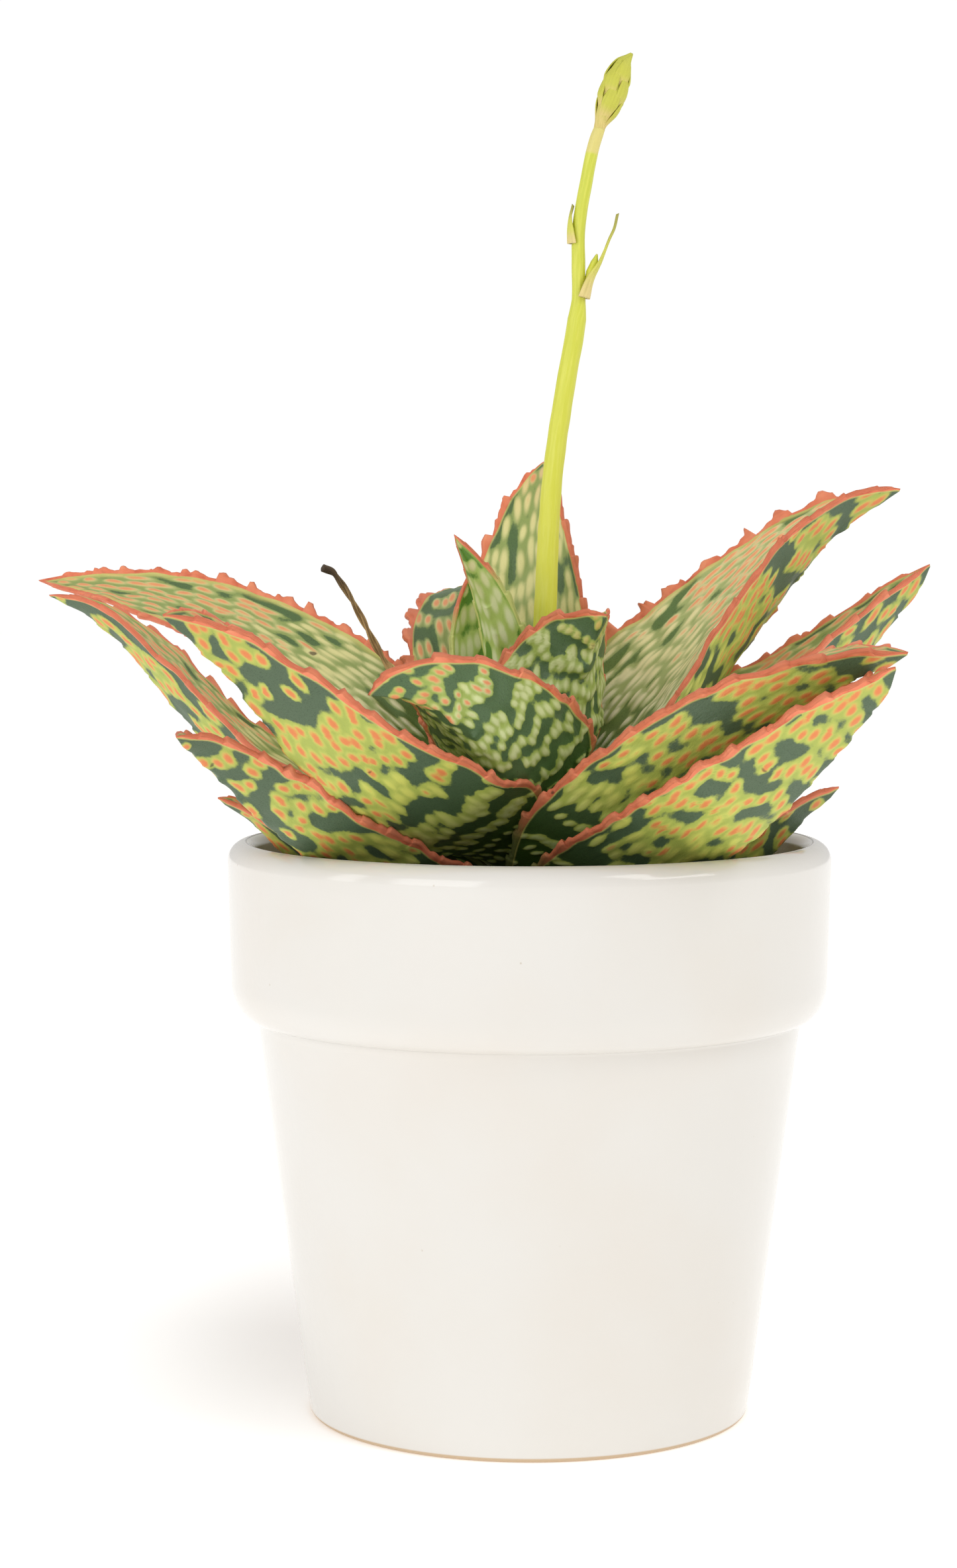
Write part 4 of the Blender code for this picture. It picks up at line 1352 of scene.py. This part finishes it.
HIDDEN = 0.62
HEART = dict(rules=(INNER_SPOTS, HEART_SPOTS), skin=Skin.HEART)
YOUNG = dict(root_radius=5.6, ribbon=0.35, tooth=0.9, rules=(YOUNG_SPOTS, YOUNG_SPOTS), skin=Skin.YOUNG)
LEAVES = (
    Leaf("leaf_left_rim", azimuth=198, rise=(17, 20, 37, 7), length=73, width=16, root_z=106.4, sway=26,
         roll=-31, twist=-1, cup=0.29, taper=1.6),
    Leaf("leaf_right_rim", azimuth=3, rise=(17, 20, 39, 16), length=67, width=20, root_z=106.8, sway=-5,
         roll=2, twist=-15, cup=0.28, taper=2.2),
    Leaf("leaf_left_low", azimuth=215, rise=(28, 21, 28, 3), length=108, width=27, root_z=110.3, sway=37,
         roll=-14, twist=8, cup=0.40, taper=2.7, depth=0.20),
    Leaf("leaf_right_low", azimuth=313, rise=(21, 27, 29, 24), length=119, width=38, root_z=111.5, sway=-17,
         roll=18, twist=3, cup=0.50, taper=2.0),
    Leaf("leaf_left_outer", azimuth=176, rise=(39, 26, 46, -2), length=117, width=22, root_z=116.8, sway=-9,
         roll=-2, twist=3, cup=0.25, taper=3.4, depth=0.24, sides=(0.5, 1.2)),
    Leaf("leaf_back_low", azimuth=79, rise=(21, 27, 31, 10), length=92, width=27, root_z=110.0, cup=0.34,
         detail=HIDDEN),
    Leaf("leaf_back_right", azimuth=49, rise=(30, 32, 13, 8), length=104, width=21, root_z=115.3, cup=0.15,
         taper=1.8, detail=HIDDEN),
    Leaf("leaf_right_front", azimuth=305, rise=(35, 34, 23, -1), length=114, width=39, root_z=117.2,
         sway=17, roll=10, twist=-3, cup=0.24, taper=2.2),
    Leaf("leaf_left_front", azimuth=233, rise=(38, 22, 35, 3), length=120, width=39, root_z=121.8, sway=-3,
         roll=-16, twist=-4, cup=0.53, taper=1.5),
    Leaf("leaf_back_middle", azimuth=79, rise=(33, 40, 4, 10), length=93, width=21, root_z=119.2, roll=-5,
         cup=0.18, detail=HIDDEN),
    Leaf("leaf_right_middle", azimuth=12, rise=(44, 31, 39, 37), length=104, width=30, root_z=122.0, sway=5,
         roll=7, twist=-13, cup=0.51, taper=2.5, sides=(1.3, 0.6)),
    Leaf("leaf_back_left", azimuth=134, rise=(31, 26, 21, 3), length=88, width=18, root_z=121.8, roll=-26,
         twist=-3, cup=0.41, taper=2.0, detail=HIDDEN),
    Leaf("leaf_left_upper", azimuth=149, rise=(35, 31, 13, 2), length=142, width=28, root_z=126.7, sway=-4,
         roll=-20, twist=-20, cup=0.20, taper=2.3, tooth=1.35, ragged=0.6, ribbon=0.8, sides=(0.7, 1.0)),
    Leaf("leaf_right_upper", azimuth=16, rise=(56, 49, 43, 3), length=106, width=40, root_z=129.3, sway=-9,
         roll=23, twist=-32, cup=0.40, taper=1.6, tooth=2.1, ragged=0.5, ribbon=0.6, sides=(1.1, 0.4),
         rules=(CREAM_STREAKS, OUTER_SPOTS), skin=Skin.PALE_AND_LIT),
    Leaf("leaf_front_curled", azimuth=265, rise=(39, 27, 23, -32), length=74, width=32, root_z=132.8,
         sway=-62, roll=2, twist=42, cup=0.33, taper=2.3, lump=0.35, pimple=1.5, **HEART),
    Leaf("leaf_left_curled", azimuth=132, rise=(45, 60, 32, -4), length=75, width=23, root_z=130.7,
         sway=-66, roll=2, twist=-16, cup=-0.01, taper=2.4, lump=0.4, pimple=1.8, tooth=2.4, ragged=0.4,
         cores=-0.3, rules=(OUTER_SPOTS, OUTER_SPOTS)),
    Leaf("leaf_back_tall", azimuth=89, rise=(66, 81, 67, 34), length=77, width=31, root_z=135.7, sway=-12,
         roll=-6, twist=-17, cup=0.30, taper=2.1, tooth=1.9, rules=(BLOTCHES, OUTER_SPOTS)),
    Leaf("leaf_heart_right", azimuth=300, rise=(69, 75, 48, 4), length=46, width=30, root_z=137.0, sway=2,
         roll=-1, twist=-3, cup=0.47, taper=2.0, lump=0.45, pimple=2.0, cores=0.3, **HEART),
    Leaf("leaf_heart_left", azimuth=161, rise=(72, 71, 90, 106), length=49, width=15, root_z=135.2, sway=-2,
         roll=-24, twist=-11, cup=0.31, taper=1.8, **YOUNG),
    Leaf("leaf_heart_front", azimuth=233, rise=(84, 81, 56, 41), length=61, width=11, root_z=135.2, sway=2,
         roll=17, twist=10, cup=0.50, taper=2.3, **YOUNG),
)


def leaf_skins() -> dict[Skin, Material]:
    """Build the skins of the leaves.

    Returns:
        One finished material for each kind.
    """
    outer = FaceTints(ground_base=paint(52, 80, 26), ground_tip=paint(80, 100, 74),
                      spot_base=paint(190, 202, 132), spot_tip=paint(206, 208, 102),
                      edge=paint(168, 180, 84), core=paint(222, 126, 76))
    inner = FaceTints(ground_base=paint(102, 126, 60), ground_tip=paint(84, 110, 64),
                      spot_base=paint(230, 230, 196), spot_tip=paint(222, 216, 150),
                      edge=paint(146, 162, 92), core=paint(230, 150, 100))
    # Brighter copy of the upper face's tints for leaf_right_upper: partly its own paler colour, partly
    # painted light.
    pale = FaceTints(ground_base=paint(126, 148, 82), ground_tip=paint(98, 124, 68),
                     spot_base=paint(248, 246, 218), spot_tip=paint(240, 230, 172),
                     edge=paint(170, 182, 116), core=paint(242, 158, 108))
    bright = FaceTints(ground_base=paint(86, 132, 34), ground_tip=paint(88, 134, 42),
                       spot_base=paint(208, 216, 168), spot_tip=paint(208, 214, 156),
                       edge=paint(166, 188, 98), core=paint(220, 158, 114))
    heart = FaceTints(ground_base=paint(60, 98, 30), ground_tip=paint(78, 104, 66),
                      spot_base=paint(204, 212, 154), spot_tip=paint(200, 200, 106),
                      edge=paint(154, 172, 84), core=paint(220, 134, 88))
    young = LeafSkin("young_leaf_skin", bright, bright, bare_margin=paint(194, 200, 116),
                     piping=paint(150, 178, 80), pale_end=0.8, blush_from=0.72)
    return {Skin.GROWN: LeafSkin("spotted_leaf_skin", outer, inner).material(),
            Skin.YOUNG: young.material(),
            Skin.PALE_AND_LIT: LeafSkin("pale_and_lit_leaf_skin", outer, pale).material(),
            Skin.HEART: LeafSkin("heart_leaf_skin", heart, inner, pale_end=0.95).material()}


def curved_blade(line: Array, outward: Array, radius: Array, half_angle: Array, thickness: float,
                 columns: int, veins: int = 5) -> Surface:
    """A pointed blade whose sections are arcs that curl round what it clasps.

    The outer arc has the radius given, the inner one is thinner by the thickness, and both span twice the
    half angle. Faint veins raise the outer arc as a cosine of the place across.

    Args:
        line: Line along the back of the blade.
        outward: Direction away from what it clasps, at each point.
        radius: Radius of the arc at each point.
        half_angle: Half of the arc's angle at each point, in degrees.
        thickness: Thickness of the blade.
        columns: Points across each face.
        veins: Number of veins.

    Returns:
        The closed blade, with the share of its length and the crest of its veins as marks.
    """
    along = unit(np.gradient(line, axis=0))
    side = unit(np.cross(along, outward))
    out = np.cross(side, along)
    across = np.linspace(-1, 1, columns)[None]
    turn = np.radians(half_angle)[:, None] * across
    middle = radius[:, None]
    arcs = middle + 0.05 * np.cos(veins * math.pi * across), middle - thickness * (1 - 0.55 * across**2)
    outer, inner = (np.stack([r * np.sin(turn), r * np.cos(turn) - middle], -1) for r in arcs)
    section = np.concatenate([outer[:, ::-1], inner], axis=1)
    rings = line[:, None] + side[:, None] * section[..., :1] + out[:, None] * section[..., 1:]
    share = np.linspace(0, 1, len(line))[:, None] + 0 * section[..., 0]
    crest = 0.5 - 0.5 * np.cos(veins * math.pi * np.concatenate([across[:, ::-1], across], 1)) + 0 * share
    flat = np.stack([run_along(line)[:, None] + 0 * share, section[..., 0]], -1)
    tip = line[-1] + 0.4 * along[-1]
    return ring_surface(rings, {"share": share, "crest": crest}, flat, rings[0].mean(axis=0), tip)


def upright(*pairs: tuple[float, float]) -> tuple:
    """Places in the stalk's plane, from pairs of x and z."""
    return tuple((x, STALK_Y, z) for x, z in pairs)


@dataclass
class Bract:
    """A sheathing bract of the stalk: the line along its back, and the arc's radius and half angle there."""
    name: str
    node: str
    line: tuple
    arcs: tuple
    away: tuple[float, float, float]
    thickness: float = 0.6
    rows: int = 60
    columns: int = 22
    veins: int = 7

    def build(self, skin: Material) -> None:
        """Make the bract and dress it.

        Args:
            skin: Material of the bract.
        """
        radii, angles = zip(*self.arcs)
        line, radius = smooth_line(self.line, self.rows, radii)
        _, angle = smooth_line(self.line, self.rows, angles)
        outward = np.tile(np.array(self.away), (self.rows, 1))
        blade = curved_blade(line, outward, radius, angle, self.thickness, self.columns, self.veins)
        blade.build(self.name, skin, "bract_skin", self.node)


@dataclass
class FlowerStalk:
    """The fresh flower stalk with its bracts: a smooth stem that narrows where the bracts clasp it."""
    line: tuple = upright((1.3, 134.95), (3.3, 170.3), (5.2, 204.2), (8.0, 223.1), (10.1, 235.5),
                          (10.45, 239.5), (10.4, 247.0), (10.45, 254.5), (11.9, 263.8), (14.3, 274.4),
                          (14.9, 276.0))
    radii: tuple = (2.6, 2.45, 2.15, 2.05, 2.0, 1.45, 1.45, 1.4, 1.35, 1.3, 1.2)
    bud_line: tuple = upright((12.2, 243.6), (13.0, 245.4), (13.9, 247.6), (14.4, 249.3))
    bud_radii: tuple = (0.5, 0.95, 0.8, 0.2)
    bracts: tuple[Bract, ...] = (
        Bract("large_bract", "bract_large",
              upright((12.9, 239.7), (13.7, 243.5), (15.4, 247.4), (17.3, 252.4), (18.3, 254.6),
                      (19.0, 257.6)),
              ((2.45, 95), (2.6, 70), (2.2, 46), (1.4, 34), (0.9, 30), (0.7, 24)), (1.0, 0.0, 0.25)),
        Bract("small_bract", "bract_small", upright((8.0, 251.5), (8.0, 254.6), (8.3, 257.0), (8.95, 259.6)),
              ((2.45, 75), (2.45, 60), (2.2, 40), (1.4, 20)), (-1.0, 0.0, 0.1)))

    def build(self, scale: Material) -> None:
        """Make the stem, the bud in the large bract's axil, and the bracts.

        Args:
            scale: Material of the bracts.
        """
        line, radii = smooth_line(self.line, 240, self.radii)
        stem = tube_surface(line, radii, 36, twist=20, ribs=9, rib=0.018, seed=3)
        line, radii = smooth_line(self.bud_line, 24, self.bud_radii)
        bud = tube_surface(line, radii, 16, ribs=5, rib=0.05, seed=4)
        skin = StalkSkin().material()
        Surface.joined([stem, bud]).build("flower_stem", skin, "flower_stalk_skin", "flower_stalk")
        for bract in self.bracts:
            bract.build(scale)


@dataclass
class FlowerHead:
    """The closed head of buds: overlapping scales placed by the golden angle round a bent spindle.

    The spindle has as many sections as rings says. The first scale starts at the section first, the others
    follow evenly over the next spread sections, and each is reach sections long. A scale spans at most
    twice belly degrees and stands off the spindle by up to about swell.
    """
    line: tuple = upright((14.6, 275.4), (15.7, 278.4), (17.2, 281.9), (18.5, 286.1), (20.1, 289.6),
                          (21.7, 291.6))
    radii: tuple = (1.1, 1.7, 2.5, 2.4, 1.6, 0.35)
    scales: int = 12
    thickness: float = 0.45
    rings: int = 60
    rows: int = 22
    first: float = 2.0
    spread: float = 36.0
    reach: float = 27.0
    belly: float = 46.0
    swell: float = 0.75

    def build(self, skin: Material) -> None:
        """Make the spindle and lay the scales on it from the foot to the tip.

        Args:
            skin: Material of the scales.
        """
        line, radius = smooth_line(self.line, self.rings, self.radii)
        along = unit(np.gradient(line, axis=0))
        steps = np.arange(self.rings)
        u = np.linspace(0, 1, self.rows)
        stand = -0.1 + self.swell * smooth(u / 0.45) * (1 - 0.8 * smooth((u - 0.5) / 0.5))
        belly = self.belly * np.sin(math.pi * np.clip(0.16 + 0.84 * u, 0, 1)) ** 0.7
        parts = [tube_surface(line, radius, 20, seed=5)]
        for k in range(self.scales):
            start = self.first + self.spread * k / self.scales
            place = np.linspace(start, min(start + self.reach, self.rings - 1.5), self.rows)
            angle = math.radians(GOLDEN_ANGLE * k)
            out = np.array([math.cos(angle), math.sin(angle), 0.0])
            way = read_at(place, steps, along)
            base = unit(out - way * (way @ out)[:, None])
            size = np.interp(place, steps, radius)
            back = read_at(place, steps, line) + base * (size + stand)[:, None]
            bend = np.maximum(size, 1.0) + 0.4
            half_angle = np.maximum(belly * np.minimum(1.0, 2.6 / bend), 5.0)
            parts.append(curved_blade(back, base, bend, half_angle, self.thickness, 12))
        Surface.joined(parts).build("flower_buds", skin, "bract_skin", "flower_head")


@dataclass
class DriedStalk:
    """The old flower stalk: two dry strands twisted round each other, ending in a dark knob.

    A strand's radius is thick times the stalk's, and it winds round the line at apart times the stalk's.
    """
    line: tuple = ((-8.2, 0.0, 133.0), (-12.0, 3.0, 138.0), (-23.0, 7.0, 153.0), (-30.5, 8.0, 161.0),
                   (-36.5, 7.0, 172.0), (-40.8, 5.5, 179.4), (-42.5, 4.5, 181.6), (-44.5, 3.5, 182.4))
    radii: tuple = (0.8, 0.85, 0.85, 0.8, 0.75, 0.7, 1.0, 1.25)
    turns: float = 5.0
    thick: float = 0.62
    apart: float = 0.46

    def build(self) -> None:
        """Wind both strands round the line, and dress them."""
        line, radius = smooth_line(self.line, 220, self.radii)
        _, side, up = carried_frame(line)
        share = np.linspace(0, 1, len(line))
        parts = []
        for strand in range(2):
            angle = TURN * (self.turns * share**0.9 + strand / 2)
            shift = (self.apart * radius * (1 - 0.7 * smooth((share - 0.9) / 0.1)))[:, None]
            path = line + shift * (side * np.cos(angle)[:, None] + up * np.sin(angle)[:, None])
            size = self.thick * radius * (1 + 0.12 * ripple(share * 60, 0 * share, 4.0, 60 + strand))
            parts.append(tube_surface(path, size, 14, twist=500, ribs=3, rib=0.08, seed=8 + strand))
        Surface.joined(parts).build("dry_stalk", DrySkin().material(), "dried_stalk_skin", "dried_stalk")


@dataclass(frozen=True)
class SoftLight:
    """A rectangular soft light: place, aim and sides in metres, power in watts."""
    name: str
    place: tuple[float, float, float]
    aim: tuple[float, float, float]
    sides: tuple[float, float]
    power: float
    colour: Colour

    def hang(self) -> None:
        """Hang the light so that it faces its aim."""
        data = bpy.data.lights.new(self.name, "AREA")
        data.shape = "RECTANGLE"
        data.size, data.size_y = self.sides
        data.energy = self.power
        data.color = self.colour
        obj = bpy.data.objects.new(self.name, data)
        back = unit(np.array(self.place, float) - np.array(self.aim, float))
        right = unit(np.cross([0.0, 0.0, 1.0], back))
        axes = np.stack([right, np.cross(back, right), back, self.place], 1)
        obj.matrix_world = Matrix(axes.tolist() + [[0, 0, 0, 1]])
        bpy.context.scene.collection.objects.link(obj)


@dataclass
class Studio:
    """Pale floor, soft lights and the camera that matches the photograph's view.

    camera_dip is in radians, and lens and sensor are millimetres of the camera, not of the scene.
    """
    camera_place: tuple[float, float, float] = (-0.01092, -0.741, 0.18934)
    camera_dip: float = 0.0719
    lens: float = 79.2
    sensor: float = 36.0
    floor_half: float = 6.0
    sky_colour: Colour = (1.0, 0.995, 0.985)
    sky_strength: float = 0.66
    shown_white: float = 1.02
    lights: tuple[SoftLight, ...] = (
        SoftLight("key", (1.1, -0.6, 1.3), (0, 0, 0.14), (0.9, 0.9), 7.2, (1.0, 0.985, 0.96)),
        SoftLight("fill", (-0.95, -1.35, 0.6), (0, 0, 0.14), (1.0, 1.0), 6.5, (0.98, 0.99, 1.0)),
        SoftLight("window", (-0.86, -0.27, 0.42), (0, 0, 0.42), (0.2, 0.6), 0.7, (1.0, 1.0, 1.0)))

    def floor(self) -> None:
        """Lay the floor, level with the foot of the pot."""
        half = self.floor_half
        mesh = bpy.data.meshes.new("floor")
        corners = [(-half, -half, 0), (half, -half, 0), (half, half, 0), (-half, half, 0)]
        mesh.from_pydata(corners, [], [(0, 1, 2, 3)])
        mesh.materials.append(FloorPaint().material())
        obj = bpy.data.objects.new("floor", mesh)
        bpy.context.scene.collection.objects.link(obj)

    def sky(self) -> None:
        """An even white surround that lights the scene less than it shows to the camera."""
        world = bpy.data.worlds.new("surround")
        world.use_nodes = True
        tree = world.node_tree
        glow = tree.nodes["Background"]
        path = tree.nodes.new("ShaderNodeLightPath")
        mix = tree.nodes.new("ShaderNodeMath")
        glow.inputs["Color"].default_value = (*self.sky_colour, 1.0)
        mix.operation = "MULTIPLY_ADD"
        mix.inputs[1].default_value = self.shown_white - self.sky_strength
        mix.inputs[2].default_value = self.sky_strength
        tree.links.new(path.outputs["Is Camera Ray"], mix.inputs[0])
        tree.links.new(mix.outputs[0], glow.inputs["Strength"])
        bpy.context.scene.world = world

    def camera(self) -> None:
        """Set up the camera of the photograph's view."""
        data = bpy.data.cameras.new("camera")
        data.lens = self.lens
        data.sensor_width = self.sensor
        obj = bpy.data.objects.new("camera", data)
        obj.location = self.camera_place
        obj.rotation_euler = (math.pi / 2 - self.camera_dip, 0.0, 0.0)
        bpy.context.scene.collection.objects.link(obj)
        bpy.context.scene.camera = obj

    def build(self) -> None:
        """Set up the whole studio."""
        self.camera()
        self.floor()
        self.sky()
        for light in self.lights:
            light.hang()
        bpy.context.scene.view_settings.view_transform = "Standard"
        log.info("studio ready")


def main() -> None:
    """Build every part in order."""
    logging.basicConfig(level=logging.INFO, format="%(name)s: %(message)s")
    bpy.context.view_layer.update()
    Studio().build()
    pot = Pot()
    pot.build()
    Soil(pot).build()
    Crown().build()
    skins = leaf_skins()
    for leaf in LEAVES:
        leaf.build(skins)
    bract = ScaleSkin("bract_skin", paint(226, 206, 138), paint(210, 210, 90), paint(160, 156, 76),
                      paint(170, 160, 84))
    FlowerStalk().build(bract.material())
    bud = ScaleSkin("bud_scale_skin", paint(220, 198, 124), paint(196, 196, 72), paint(200, 202, 80),
                    paint(168, 164, 62))
    FlowerHead().build(bud.material())
    DriedStalk().build()


if __name__ == "__main__":
    main()
